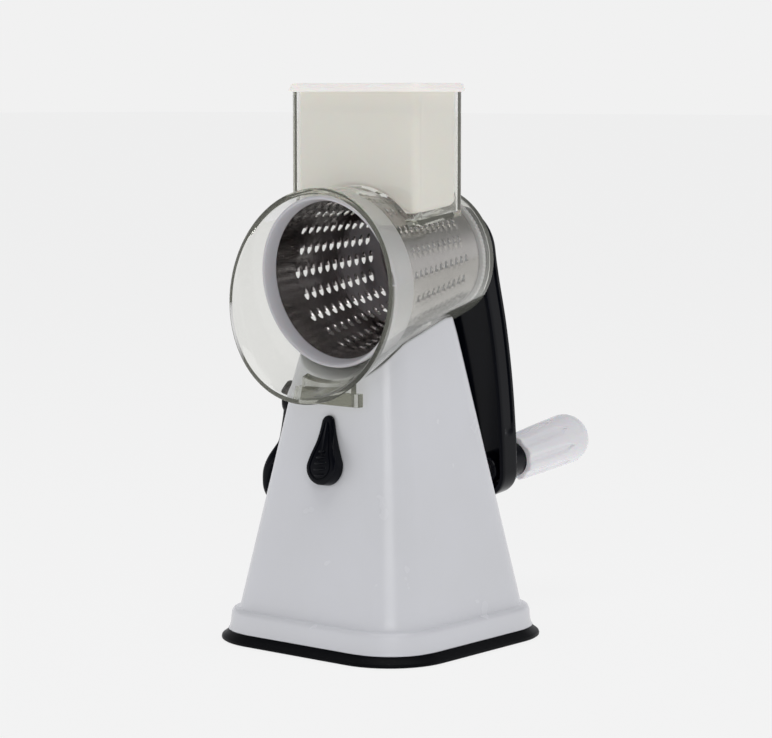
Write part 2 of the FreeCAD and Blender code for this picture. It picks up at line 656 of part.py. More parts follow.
def lock_knob():
    """Black teardrop knob that hangs from its pivot on the front face: thin at the pivot, thick at
    its paddle. Its shaft goes through the wall."""
    back, thin, thick, reach = (size(name) for name in ("knob_back", "knob_thin", "knob_thick", "knob_reach"))
    plan = link_outline(size("knob_neck"), size("knob_radius"), reach).extrude(Vector(0, 0, 20))
    profile = [
        (-10.0, back), (-10.0, thin - 0.3),
        [(-4.0, thin - 0.3), (3.0, thin + 0.4), (0.4 * reach, thin + 1.6), (0.7 * reach, thick - 1.1),
         (reach, thick), (1.3 * reach, thick - 0.2), (1.6 * reach, thick - 1.6)],
        (1.6 * reach, back),
    ]
    side = wire_face(profile, lambda down, out: Vector(-20, down, out)).extrude(Vector(40, 0, 0))
    for form in (plan, side):
        form.rotate(Vector(), Vector(0, 0, 1), 180 + size("knob_turned"))
    shaft_length = size("stand_wall") + size("dog_thick") + 1.6
    shaft = Part.makeCylinder(size("knob_shaft_radius"), shaft_length,
                              Vector(0, 0, back + 0.5), Vector(0, 0, -1))
    hole = Part.makeCylinder(1.2, 7, Vector(0, 0, back - shaft_length), Vector(0, 0, 1))
    return keep(on_front_face(made(plan.common(side).fuse(shaft).cut(hole))), "lock_knob")


def latch_dog():
    """White finger on the knob's shaft, inside the wall, that blocks the housing's hook."""
    tip = 3.0
    plan = link_outline(size("dog_radius"), tip, size("dog_reach") - tip)
    shape = plan.extrude(Vector(0, 0, size("dog_thick")))
    shape = shape.cut(Part.makeCylinder(size("knob_shaft_radius") + 0.02, 20, Vector(0, 0, -5)))
    return keep(on_front_face(made(shape), lift="-(stand_wall + 0.6 + dog_thick)"), "latch_dog")


def dog_screw():
    """Screw that holds the latch dog on the knob's shaft."""
    head = on_front_face(cylinder("4.2", "1.8"), lift="-(stand_wall + dog_thick + 2.5)")
    shank = on_front_face(cylinder("1.15", "6.5"), lift="-(stand_wall + dog_thick + 2.2)")
    return keep(fuse(head, shank), "dog_screw")


# ---------------------------------------------------------------- clear housing, bush, pusher

def hopper_prism(label, bottom, top, inset):
    """The hopper's outline, moved in by inset, between two heights."""
    return prism(label, bottom, f"{top} - ({bottom})", f"hopper_half_width - ({inset})",
                 f"hopper_corner - 0.7 * ({inset})" if label == "HopperRoom" else "hopper_corner",
                 f"(hopper_back - hopper_front) / 2 - ({inset})", "(hopper_back + hopper_front) / 2")


def below_axis_plane(height):
    """A block that fills the space under a plane parallel to the drum's axis, at a height above it."""
    block = doc.addObject("Part::Box", "Block")
    bind(block, Length="120", Width="80", Height="160")
    on_axis(block, along="-80", down=f"-({height})")
    return bind(block, Placement__Base__x="-60")


def drum_housing():
    """Clear housing in one moulding: hopper, barrel, flared mouth, bearing boss, and below the mouth
    the foot with its tongue and hook that the latch dog holds. The hopper's sides end in ledges
    where they stand out beyond the barrel."""
    barrel = barrel_form("0", "0", "0")
    hopper = cut(hopper_prism("Hopper", "axis_height + 2", "hopper_top", "0"),
                 below_axis_plane("hopper_ledge"))
    boss = on_axis(cylinder("bearing_boss", "bearing_end - barrel_back + 2"), along="barrel_back - 2")
    neck = centred_box("foot_neck_half", "foot_front", "foot_bottom", "foot_back - foot_front", "14")
    tab = centred_box("foot_tab_half", "foot_front", "foot_bottom", "foot_back - foot_front", "foot_tab")
    tongue = centred_box("tongue_half", "foot_back - 1", "tongue_bottom", "tongue_back - foot_back + 1",
                         "tongue_height")
    hook = centred_box("tongue_half", "hook_front", "hook_bottom", "tongue_back - hook_front", "4")
    room = barrel_form("-barrel_wall", "-rim_wall", "-barrel_wall")
    mouth = bind(doc.addObject("Part::Cylinder", "Mouth"), Radius="rim_radius - rim_wall", Height="3")
    mouth.Placement = Placement(Vector(), Rotation(Vector(1, 0, 0), 90 - size("rim_lean")))
    bind(mouth, Placement__Base__y="-rim_out", Placement__Base__z="rim_height",
         Placement__Rotation__Angle="90 - rim_lean")
    feed = cut(hopper_prism("HopperRoom", "axis_height + 4", "hopper_top + 1", "hopper_wall"),
               below_axis_plane("hopper_ledge + hopper_wall"))
    bore = on_axis(cylinder("bush_radius + 0.05", "20"), along="barrel_back - 10")
    solid = fuse(*barrel, hopper, boss, neck, tab, tongue, hook)
    return keep(cut(solid, *room, mouth, feed, bore), "drum_housing")


def shaft_bush():
    """White flanged bush in the housing's bearing boss."""
    sleeve = on_axis(cylinder("bush_radius", "bush_back - bush_front"), along="bush_front")
    flange = on_axis(cylinder("bush_flange", "bush_back - bearing_end - 0.05"), along="bearing_end + 0.05")
    bore = on_axis(cylinder("shaft_radius + turn_gap", "30"), along="bush_front - 5")
    return keep(cut(fuse(sleeve, flange), bore), "shaft_bush")


def pusher_body():
    """Milky hollow block that presses the food down; its underside is hollowed to follow the drum."""
    block = hopper_prism("Pusher", "axis_height + 20", "hopper_top", "hopper_wall + pusher_gap")
    room = hopper_prism("PusherRoom", "axis_height + 22", "hopper_top + 1",
                        "hopper_wall + pusher_gap + pusher_wall")
    room = cut(room, on_axis(cylinder("drum_front_radius + 3.5 + pusher_wall", "120"), along="-60"),
               below_axis_plane("pusher_base + pusher_wall"))
    relief = on_axis(cylinder("drum_front_radius + 3.5", "120"), along="-60")
    return keep(cut(block, room, relief, below_axis_plane("pusher_base")), "pusher_body")


def pusher_cap():
    """Milky cap that closes the pusher and stops it on the hopper's rim."""
    lid = prism("Cap", "hopper_top", "cap_thick", "hopper_half_width + cap_overhang", "hopper_corner + 1",
                "(hopper_back - hopper_front) / 2 + cap_overhang", "(hopper_back + hopper_front) / 2")
    plug = hopper_prism("Plug", "hopper_top - cap_plug", "hopper_top + 0.5",
                        "hopper_wall + pusher_gap + pusher_wall + 0.05")
    inset = hopper_prism("PlugRoom", "hopper_top - cap_plug - 1", "hopper_top",
                         "hopper_wall + pusher_gap + pusher_wall + 2")
    return keep(cut(fuse(lid, plug), inset), "pusher_cap")


# ---------------------------------------------------------------- drum

def drum_radius_at(along):
    """Outer radius of the drum's cone at a distance along the axis."""
    front, back = size("drum_front"), size("drum_back")
    share = (along - front) / (back - front)
    return size("drum_front_radius") + share * (size("drum_back_radius") - size("drum_front_radius"))


def tooth_holes():
    """The oval hole of every tooth, with alternate rows half a pitch apart."""
    rows, teeth, pitch = int(size("tooth_rows")), int(size("teeth_per_row")), size("tooth_pitch")
    width, length = size("tooth_hole_width"), size("tooth_hole_length")
    straight = (length - width) / 2
    ends = [Vector(0, -straight, 0), Vector(0, straight, 0)]
    oval = Part.Face(Part.Wire([
        Part.Arc(ends[1] + Vector(width / 2, 0, 0), ends[1] + Vector(0, width / 2, 0),
                 ends[1] - Vector(width / 2, 0, 0)).toShape(),
        Part.LineSegment(ends[1] - Vector(width / 2, 0, 0), ends[0] - Vector(width / 2, 0, 0)).toShape(),
        Part.Arc(ends[0] - Vector(width / 2, 0, 0), ends[0] - Vector(0, width / 2, 0),
                 ends[0] + Vector(width / 2, 0, 0)).toShape(),
        Part.LineSegment(ends[0] + Vector(width / 2, 0, 0), ends[1] + Vector(width / 2, 0, 0)).toShape(),
    ]))
    holes = []
    for row in range(rows):
        for tooth in range(teeth - row % 2):
            along = size("tooth_start") + (tooth + 0.5 * (row % 2)) * pitch
            punch = oval.extrude(Vector(0, 0, 6))
            inside = drum_radius_at(along) - 3.5
            punch.Placement = Placement(Vector(inside, 0, along), Rotation(Vector(0, 1, 0), 90))
            punch.rotate(Vector(), Vector(0, 0, 1), 360.0 * row / rows)
            holes.append(punch)
    return Part.Compound(holes)


def drum_shell():
    """Stainless steel cone with its rows of teeth and an inward flange at the back."""
    sheet = size("drum_sheet")
    front, back = size("drum_front"), size("drum_back")
    first, last = size("drum_front_radius"), size("drum_back_radius")
    wall = Part.makeCone(first, last, back - front, Vector(0, 0, front))
    spread = (first - last) / (back - front)
    room = Part.makeCone(first - sheet + spread, last - sheet - spread, back - front + 2,
                         Vector(0, 0, front - 1))
    wall = wall.cut(room).cut(tooth_holes())
    flange = Part.makeCylinder(last - 0.02, sheet, Vector(0, 0, back - sheet))
    flange = flange.cut(Part.makeCylinder(size("hub_radius") - 7.5, 5, Vector(0, 0, back - 3)))
    shell = made(wall.fuse(flange))
    return keep(on_axis(shell), "drum_shell")


def drum_front_ring():
    """White ring that holds the drum's front edge and carries it in the housing's mouth."""
    outside = cone("ring_radius", "ring_back_radius", "ring_back - ring_front")
    seat = cone("drum_front_radius + 0.05", "drum_front_radius + 0.05 - (drum_front_radius - drum_back_radius)"
                " * (ring_back + 1 - drum_front) / (drum_back - drum_front)", "ring_back + 1 - drum_front")
    mouth = cone("ring_bore + 1.4", "ring_bore", "drum_front - ring_front + 0.5")
    return keep(cut(on_axis(outside, along="ring_front"), on_axis(seat, along="drum_front"),
                    on_axis(mouth, along="ring_front - 0.5")), "drum_front_ring")


def drum_hub():
    """White rear hub behind the steel's flange, with a square socket for the shaft."""
    disc = on_axis(cylinder("hub_radius", "hub_disc"), along="hub_back - hub_disc")
    spigot = on_axis(cylinder("hub_radius - 8", "hub_back - drum_back + 1.2"), along="drum_back - 1.2")
    pad = on_axis(cylinder("hub_radius - 3", "hub_back - drum_back - 0.05"), along="drum_back + 0.05")
    boss = on_axis(cylinder("hub_boss", "11"), along="hub_back - 11")
    socket = doc.addObject("Part::Box", "Socket")
    bind(socket, Length="2 * socket_half", Width="2 * socket_half", Height="9.5")
    on_axis(socket, along="hub_back - 9", down="-socket_half")
    bind(socket, Placement__Base__x="-socket_half")
    return keep(cut(fuse(disc, spigot, pad, boss), socket), "drum_hub")


# ---------------------------------------------------------------- crank

def square_bar(half, along, length):
    """A square bar centred on the drum's axis."""
    bar = doc.addObject("Part::Box", "Bar")
    bind(bar, Length=f"2 * ({half})", Width=f"2 * ({half})", Height=length)
    on_axis(bar, along=along, down=f"-({half})")
    return bind(bar, Placement__Base__x=f"-({half})")


def drive_shaft():
    """White shaft: a square end in the drum's hub, a round journal in the bush and a square end in
    the crank arm, with a hole for the crank's screw."""
    front = square_bar("shaft_half", "hub_back - 8.4", "bush_front - hub_back + 9")
    journal = on_axis(cylinder("shaft_radius", "bush_back - bush_front + 0.6"), along="bush_front")
    back = square_bar("shaft_half", "bush_back", "arm_hub_back - bush_back - arm_floor")
    hole = on_axis(cylinder("1.6", "9"), along="arm_hub_back - arm_floor - 8.5")
    return keep(cut(fuse(front, journal, back), hole), "drive_shaft")


def arm_profile(shift):
    """The line of the arm's back face seen from the side, moved towards the front by shift."""
    hub, end, crank = size("arm_hub_back") - shift, size("arm_end_back") - shift, size("crank_radius")
    rise = end - hub
    return [
        (-30.0, hub - 1.6), (0.0, hub), (0.12 * crank, hub + 0.16 * rise), (0.35 * crank, hub + 0.57 * rise),
        (0.6 * crank, hub + 0.86 * rise), (0.85 * crank, hub + 0.99 * rise), (crank, end), (1.2 * crank, end),
    ]


def arm_layer(inset, back_shift, front_shift):
    """The link's outline, moved in by inset, between two copies of the back face's line."""
    plan = link_outline(size("arm_hub_radius") - inset, size("arm_end_radius") - inset, size("crank_radius"))
    plan = plan.extrude(Vector(0, 0, 120))
    back = arm_profile(back_shift)
    front = arm_profile(front_shift)[::-1]
    side = wire_face([back, front], lambda down, along: Vector(-30, down, along)).extrude(Vector(60, 0, 0))
    return plan.common(side)


def crank_arm():
    """Black arm: a channel open towards the stand, with a square-socket boss at its upper end and a
    round boss for the handle's axle at its lower end."""
    depth, wall, floor = size("arm_depth"), size("arm_wall"), size("arm_floor")
    hub_back, end_back, crank = size("arm_hub_back"), size("arm_end_back"), size("crank_radius")
    outer = arm_layer(0.0, 0.0, depth)
    channel = arm_layer(wall, floor, depth + 5.0)
    arm = outer.cut(channel)
    hub_front = size("bush_back") + 0.9
    arm = arm.fuse(Part.makeCylinder(10, hub_back - floor - hub_front + 0.5, Vector(0, 0, hub_front)))
    arm = arm.fuse(Part.makeCylinder(8, 8, Vector(0, crank, end_back - floor - 7.5)))
    half = size("socket_half")
    arm = arm.cut(Part.makeBox(2 * half, 2 * half, hub_back - floor - hub_front + 1,
                               Vector(-half, -half, hub_front - 1)))
    arm = arm.cut(Part.makeCylinder(1.8, 20, Vector(0, 0, hub_back - 10)))
    arm = arm.cut(Part.makeCylinder(size("washer_seat"), 8, Vector(0, 0, hub_back + 0.25)))
    arm = arm.cut(Part.makeCylinder(size("axle_radius") + 0.02, 40, Vector(0, crank, end_back - 20)))
    return keep(on_axis(made(arm.removeSplitter())), "crank_arm")


def crank_screw():
    """Steel screw that clamps the arm on the shaft, and its washer."""
    head = on_axis(cylinder("4.5", "2.2"), along="arm_hub_back + 1.35")
    shank = on_axis(cylinder("1.5", "11"), along="arm_hub_back - 9.4")
    keep(fuse(head, shank), "crank_screw")
    washer = on_axis(cylinder("6", "1"), along="arm_hub_back + 0.3")
    hole = on_axis(cylinder("1.7", "5"), along="arm_hub_back - 1")
    keep(cut(washer, hole), "crank_washer")


def on_handle_axis(feature, along):
    return on_axis(feature, along=along, down="crank_radius")


def handle_collar():
    """Black collar between the arm and the handle."""
    sleeve = on_handle_axis(cylinder("collar_radius", "grip_front - arm_end_back - 0.5"), "arm_end_back + 0.1")
    flange = on_handle_axis(cylinder("collar_radius + 1.6", "1.4"), "arm_end_back + 0.1")
    hole = on_handle_axis(cylinder("axle_radius + 0.02", "60"), "arm_end_back - 5")
    return keep(cut(fuse(sleeve, flange), hole), "handle_collar")


def grip_axle():
    """Steel axle of the handle, riveted into the arm, with a head in the arm's channel."""
    pin = on_handle_axis(cylinder("axle_radius", "grip_end - 6 - arm_end_back + arm_floor + 8"),
                         "arm_end_back - arm_floor - 8")
    head = on_handle_axis(cylinder("axle_head_radius", "1.8"), "arm_end_back - arm_floor - 9.4")
    hole = on_handle_axis(cylinder("1.4", "12"), "grip_end - 17.5")
    return keep(cut(fuse(pin, head), hole), "grip_axle")


def axle_screw():
    """Screw and head in the handle that keep it on its axle."""
    head = on_handle_axis(cylinder("axle_head_radius", "2.4"), "grip_end - 5.8")
    shank = on_handle_axis(cylinder("1.35", "11"), "grip_end - 16")
    return keep(fuse(head, shank), "axle_screw")


def handle_grip():
    """White handle that spins on the axle: a slim cone with a round end and eight shallow flutes."""
    front, end = size("grip_front"), size("grip_end")
    root, dome = size("grip_root_radius"), size("grip_end_radius")
    body = Part.makeCone(root, dome, end - front, Vector(0, 0, front))
    body = body.fuse(Part.makeSphere(dome, Vector(0, 0, end)))
    bore = Part.makeCylinder(size("axle_radius") + size("turn_gap"), end - 6 - front + 0.1,
                             Vector(0, 0, front - 0.1))
    room = Part.makeCylinder(size("axle_head_radius") + 0.6, 8, Vector(0, 0, end - 6.2))
    body = body.cut(bore).cut(room)
    flutes = []
    for number in range(8):
        groove = Part.makeCylinder(6, end - front - 8, Vector(root + 5.5, 0, front - 2))
        groove.rotate(Vector(root, 0, front), Vector(0, 1, 0), 1.6)
        groove.rotate(Vector(), Vector(0, 0, 1), 45.0 * number + 22.5)
        flutes.append(groove)
    body = body.cut(Part.Compound(flutes))
    return keep(on_axis(made(body), down="crank_radius"), "handle_grip")


# ---------------------------------------------------------------- build, test, write

base_housing()
base_plate()
foot_ring()
suction_cup()
lift_rod()
cup_fastener()
base_screws()
suction_lever()
lever_axle()
lever_bush()
lift_cam()
cam_screw()
lock_knob()
latch_dog()
dog_screw()
drum_housing()
shaft_bush()
pusher_body()
pusher_cap()
drum_shell()
drum_front_ring()
drum_hub()
drive_shaft()
crank_arm()
crank_screw()
handle_collar()
grip_axle()
axle_screw()
handle_grip()
doc.recompute()

for item in doc.Objects:
    if "Invalid" in item.State or "Error" in item.State:
        raise RuntimeError(f"{item.Name} ({item.Label}) failed: {item.State}")
for part in PARTS:
    if part.Shape.isNull() or not part.Shape.isValid() or not part.Shape.Solids:
        raise RuntimeError(f"{part.Label} has no valid solid")

os.makedirs("parts", exist_ok=True)
for part in PARTS:
    part.Shape.exportStep(f"parts/{part.Label}.step")
    print(f"{part.Label}: {len(part.Shape.Solids)} solid(s), {part.Shape.Volume / 1000:.2f} cm3")
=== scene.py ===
import math

import bmesh
import bpy
from mathutils import Matrix, Vector


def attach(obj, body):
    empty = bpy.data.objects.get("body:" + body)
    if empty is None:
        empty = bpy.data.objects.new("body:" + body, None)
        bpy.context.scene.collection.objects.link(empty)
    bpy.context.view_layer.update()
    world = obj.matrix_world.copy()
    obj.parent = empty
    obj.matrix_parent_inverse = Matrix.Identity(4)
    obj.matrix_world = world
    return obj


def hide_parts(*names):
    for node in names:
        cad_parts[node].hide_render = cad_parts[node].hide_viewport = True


# Rotary cheese grater: the looks of every visible piece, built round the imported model.
# All shapes are drawn in millimetres in the row frame and scaled to metres when a piece is made.

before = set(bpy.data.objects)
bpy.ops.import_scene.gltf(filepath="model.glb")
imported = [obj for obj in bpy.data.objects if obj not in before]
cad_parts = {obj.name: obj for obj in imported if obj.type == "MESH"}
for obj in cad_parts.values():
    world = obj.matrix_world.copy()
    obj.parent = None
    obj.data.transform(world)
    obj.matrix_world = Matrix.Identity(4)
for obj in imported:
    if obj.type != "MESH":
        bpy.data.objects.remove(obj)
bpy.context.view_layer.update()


# ---------------------------------------------------------------- materials

def colour(code):
    """Linear colour of an sRGB hex code."""
    shares = [int(code[start:start + 2], 16) / 255 for start in (0, 2, 4)]
    return [s / 12.92 if s <= 0.04045 else ((s + 0.055) / 1.055) ** 2.4 for s in shares] + [1.0]


def add(tree, kind, values=None, links=None, **settings):
    """Adds a node with its settings, its input values and its incoming links."""
    node = tree.nodes.new(kind)
    for name, value in settings.items():
        setattr(node, name, value)
    for socket, value in (values or {}).items():
        node.inputs[socket].default_value = value
    for socket, source in (links or {}).items():
        tree.links.new(source, node.inputs[socket])
    return node


def new_material(name):
    """An empty node material and its output node."""
    made = bpy.data.materials.new(name)
    made.use_nodes = True
    made.node_tree.nodes.clear()
    return made, made.node_tree, add(made.node_tree, "ShaderNodeOutputMaterial")


def mottle(tree, scale, low, high, detail=3.0):
    """Soft noise in object space, mapped to a range of values."""
    place = add(tree, "ShaderNodeTexCoord")
    noise = add(tree, "ShaderNodeTexNoise", {"Scale": scale, "Detail": detail},
                {"Vector": place.outputs["Object"]})
    limits = {"From Min": 0.3, "From Max": 0.7, "To Min": low, "To Max": high}
    spread = add(tree, "ShaderNodeMapRange", limits, {"Value": noise.outputs["Fac"]})
    return spread.outputs["Result"]


def moulded(name, dark, light, rough, ripple=0.02, coat=0.0, grain=900.0, **shader_values):
    """Injection moulded plastic or rubber: two close tones, faint flow mottle and a fine skin."""
    made, tree, output = new_material(name)
    tone = add(tree, "ShaderNodeMix", {"A": colour(dark), "B": colour(light)},
               {"Factor": mottle(tree, 22.0, 0.0, 1.0)}, data_type="RGBA")
    skin_bump = add(tree, "ShaderNodeBump", {"Strength": ripple, "Distance": 0.0002},
                    {"Height": mottle(tree, grain, 0.0, 1.0, 2.0)})
    shader = add(tree, "ShaderNodeBsdfPrincipled", dict(shader_values, **{"Coat Weight": coat, "IOR": 1.5}),
                 {"Base Color": tone.outputs["Result"],
                  "Roughness": mottle(tree, 60.0, rough * 0.85, rough * 1.15),
                  "Normal": skin_bump.outputs["Normal"]})
    tree.links.new(shader.outputs["BSDF"], output.inputs["Surface"])
    return made


# ---------------------------------------------------------------- meshes

def skin(mesh, rings, closed=False):
    """Faces between each ring of points and the next. A ring of one point is a tip."""
    rows = [[mesh.verts.new(point) for point in ring] for ring in rings]
    pairs = list(zip(rows, rows[1:])) + ([(rows[-1], rows[0])] if closed else [])
    for first, second in pairs:
        count = max(len(first), len(second))
        for index in range(count):
            after = (index + 1) % count
            corners = [first[index % len(first)], first[after % len(first)],
                       second[after % len(second)], second[index % len(second)]]
            mesh.faces.new(list(dict.fromkeys(corners)))


def circle(centre, right, down, radius, steps):
    """A ring of points round a centre, starting at the right and going down."""
    turns = [math.tau * step / steps for step in range(steps)]
    return [centre + radius * (math.cos(turn) * right + math.sin(turn) * down) for turn in turns]


def rounded(half_wide, half_deep, corner, height, middle=0.0, corner_steps=12, side_steps=10):
    """A level ring of points round a rounded rectangle, always in the same order."""
    ring = []
    for quarter in range(4):
        start = math.radians(90 * quarter)
        sign_x = 1 if quarter in (0, 3) else -1
        sign_y = 1 if quarter in (0, 1) else -1
        hub = Vector((sign_x * (half_wide - corner), middle + sign_y * (half_deep - corner), height))
        for step in range(corner_steps + 1):
            turn = start + math.radians(90) * step / corner_steps
            ring.append(hub + corner * Vector((math.cos(turn), math.sin(turn), 0)))
        towards = Vector((-math.sin(start + math.radians(90)), math.cos(start + math.radians(90)), 0))
        side = 2 * ((half_wide if quarter in (0, 2) else half_deep) - corner)
        last = ring[-1]
        for step in range(1, side_steps):
            ring.append(last + towards * (side * step / side_steps))
    return ring


def follow(points, x):
    """A smooth curve through points (x, y), read at x."""
    x = min(max(x, points[0][0]), points[-1][0])
    index = max(number for number in range(len(points) - 1) if points[number][0] <= x)

    def slope(number):
        before, after = points[max(number - 1, 0)], points[min(number + 1, len(points) - 1)]
        return (after[1] - before[1]) / (after[0] - before[0])

    (x0, y0), (x1, y1) = points[index], points[index + 1]
    width = x1 - x0
    t = (x - x0) / width
    rise = slope(index) * width * t * (1 - t) ** 2 - slope(index + 1) * width * t * t * (1 - t)
    return y0 + (y1 - y0) * t * t * (3 - 2 * t) + rise


def temporary(mesh):
    """A plain object of a mesh, for use in a Boolean."""
    bmesh.ops.remove_doubles(mesh, verts=mesh.verts, dist=0.0005)
    bmesh.ops.recalc_face_normals(mesh, faces=mesh.faces)
    data = bpy.data.meshes.new("Temporary")
    mesh.to_mesh(data)
    mesh.free()
    made = bpy.data.objects.new("Temporary", data)
    bpy.context.scene.collection.objects.link(made)
    return made


def carve(solid, tool, operation="DIFFERENCE"):
    """Cuts or joins one temporary object with another, which is used up."""
    modifier = solid.modifiers.new("Carve", "BOOLEAN")
    modifier.operation = operation
    modifier.solver = "EXACT"
    modifier.object = tool
    depsgraph = bpy.context.evaluated_depsgraph_get()
    result = bpy.data.meshes.new_from_object(solid.evaluated_get(depsgraph))
    solid.modifiers.clear()
    solid.data = result
    bpy.data.objects.remove(tool)


def taken(solid):
    """The mesh of a temporary object, which is used up."""
    mesh = bmesh.new()
    mesh.from_mesh(solid.data)
    bpy.data.objects.remove(solid)
    return mesh


def box_mesh(low, high):
    mesh = bmesh.new()
    size, centre = Vector(high) - Vector(low), (Vector(high) + Vector(low)) / 2
    bmesh.ops.create_cube(mesh, size=1.0, matrix=Matrix.Translation(centre) @ Matrix.Diagonal((*size, 1)))
    return mesh


def piece(name, mesh, material, body, nodes, sharp=32.0):
    """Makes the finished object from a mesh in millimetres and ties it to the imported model."""
    bmesh.ops.remove_doubles(mesh, verts=mesh.verts, dist=0.002)
    bmesh.ops.recalc_face_normals(mesh, faces=mesh.faces)
    for edge in mesh.edges:
        edge.smooth = len(edge.link_faces) == 2 and edge.calc_face_angle() < math.radians(sharp)
    for face in mesh.faces:
        face.smooth = True
    bmesh.ops.scale(mesh, vec=(0.001, 0.001, 0.001), verts=mesh.verts)
    data = bpy.data.meshes.new(name)
    mesh.to_mesh(data)
    mesh.free()
    data.materials.append(material)
    made = bpy.data.objects.new(name, data)
    bpy.context.scene.collection.objects.link(made)
    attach(made, body)
    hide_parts(*nodes)
    return made


# ---------------------------------------------------------------- the drum's axis and the barrel's form

TILT = math.radians(7.0)
AXIS_POINT = Vector((0, 0, 184.07))
ALONG = Vector((0, math.cos(TILT), math.sin(TILT)))
DOWN = Vector((0, math.sin(TILT), -math.cos(TILT)))
RIGHT = Vector((1, 0, 0))

BARREL_FRONT, BARREL_FRONT_RADIUS = -24.0, 44.2
BARREL_BACK, BARREL_BACK_RADIUS = 49.0, 33.0
RIM_CENTRE = Vector((0, -54.1, 173.1))
RIM_RADIUS = 52.0
RIM_LEAN = math.radians(6.6)
RIM_DOWN = Vector((0, -math.sin(RIM_LEAN), -math.cos(RIM_LEAN)))
RIM_OUT = Vector((0, -math.cos(RIM_LEAN), math.sin(RIM_LEAN)))


def on_axis(along, down=0.0, right=0.0):
    """A point given along the drum's axis, below it and to its right."""
    return AXIS_POINT + along * ALONG + down * DOWN + right * RIGHT


def turned(mesh, profile, down=0.0, steps=128, closed=False):
    """A turned shape from (radius, along) pairs, on the drum's axis or parallel to it."""
    rings = [
        circle(on_axis(along, down), RIGHT, DOWN, radius, steps) if radius > 0 else [on_axis(along, down)]
        for radius, along in profile
    ]
    skin(mesh, rings, closed)


def barrel_radius(along):
    share = (along - BARREL_FRONT) / (BARREL_BACK - BARREL_FRONT)
    return BARREL_FRONT_RADIUS + share * (BARREL_BACK_RADIUS - BARREL_FRONT_RADIUS)


def scoop_ring(share, front_radius, rim_radius, steps):
    """A ring of the flared mouth: at 0 the barrel's start, at 1 the rim."""
    start = circle(on_axis(BARREL_FRONT), RIGHT, DOWN, front_radius, steps)
    rim = circle(RIM_CENTRE, RIGHT, RIM_DOWN, rim_radius, steps)
    return [first.lerp(second, share) for first, second in zip(start, rim)]


def in_barrel(point, grow):
    """True inside the barrel or its flared mouth, with their surface moved out by grow."""
    offset = point - AXIS_POINT
    along = offset.dot(ALONG)
    if BARREL_FRONT <= along <= BARREL_BACK + 5:
        return (offset - along * ALONG).length < barrel_radius(along) + grow
    past_front = BARREL_FRONT - along
    before_rim = (RIM_CENTRE - point).dot(RIM_OUT)
    if past_front < 0 or before_rim < 0:
        return False
    share = past_front / (past_front + before_rim)
    middle = on_axis(BARREL_FRONT).lerp(RIM_CENTRE, share)
    return (point - middle).length < BARREL_FRONT_RADIUS + share * (RIM_RADIUS - BARREL_FRONT_RADIUS) + grow


# ---------------------------------------------------------------- stand: white housing
# A hollow tower on a square skirt, moulded in one piece of glossy cool white plastic. Its top
# is a saddle that follows the clear barrel; a slot in front takes the barrel's locking tongue.

white_abs = moulded("White_Glossy_ABS", "e3e4e8", "e6e7ec", 0.24, ripple=0.006)

WALL = 2.5
TOWER_FOOT, TOWER_TOP = 15.5, 160.0
TOWER_FOOT_HALF, TOWER_TOP_HALF = 56.6, 29.15


def saddle_height(x, y, grow):
    """Height at which the line over x, y meets the barrel's underside."""
    low = 100.0
    step = 3.0
    while low + step <= TOWER_TOP and not in_barrel(Vector((x, y, low + step)), grow):
        low += step
    if low + step > TOWER_TOP and not in_barrel(Vector((x, y, TOWER_TOP)), grow):
        return TOWER_TOP
    high = min(low + step, TOWER_TOP)
    for _ in range(12):
        middle = (low + high) / 2
        if in_barrel(Vector((x, y, middle)), grow):
            high = middle
        else:
            low = middle
    return low


def tower_skin(inset, rounding):
    """Rings of the tower from its foot over the saddle to the middle, moved in by inset."""
    foot_half, top_half = TOWER_FOOT_HALF - inset, TOWER_TOP_HALF - inset
    foot = rounded(foot_half, foot_half, 23.0 - inset * 0.8, TOWER_FOOT)
    top = rounded(top_half, top_half, 13.0 - inset * 0.8, TOWER_TOP)
    grow = 0.3 + inset
    ends = []
    for low_point, top_point in zip(foot, top):
        outside, inside = 0.0, 1.0
        if in_barrel(top_point, grow):
            for _ in range(18):
                middle = (outside + inside) / 2
                if in_barrel(low_point.lerp(top_point, middle), grow):
                    inside = middle
                else:
                    outside = middle
        ends.append(low_point.lerp(top_point, inside))
    rings = []
    rows = 18
    for row in range(rows):
        rings.append([a.lerp(b, row / rows) for a, b in zip(foot, ends)])
    lift = Vector((0, 0, 1))
    for share_in, share_down in ((0.0, 1.0), (0.08, 0.6), (0.3, 0.29), (0.62, 0.08), (1.0, 0.0)):
        ring = []
        for end in ends:
            inward = Vector((-end.x, -end.y, 0)).normalized() * rounding * share_in
            spot = end + inward
            spot.z = saddle_height(spot.x, spot.y, grow) if share_in == 1.0 else end.z
            ring.append(spot - lift * rounding * share_down)
        rings.append(ring)
    edge = rings[-1]
    fill = 12
    for number in range(1, fill):
        share = 1 - number / fill
        ring = []
        for end in edge:
            x, y = end.x * share, end.y * share
            ring.append(Vector((x, y, saddle_height(x, y, grow))))
        rings.append(ring)
    rings.append([Vector((0, 0, saddle_height(0, 0, grow)))])
    return rings


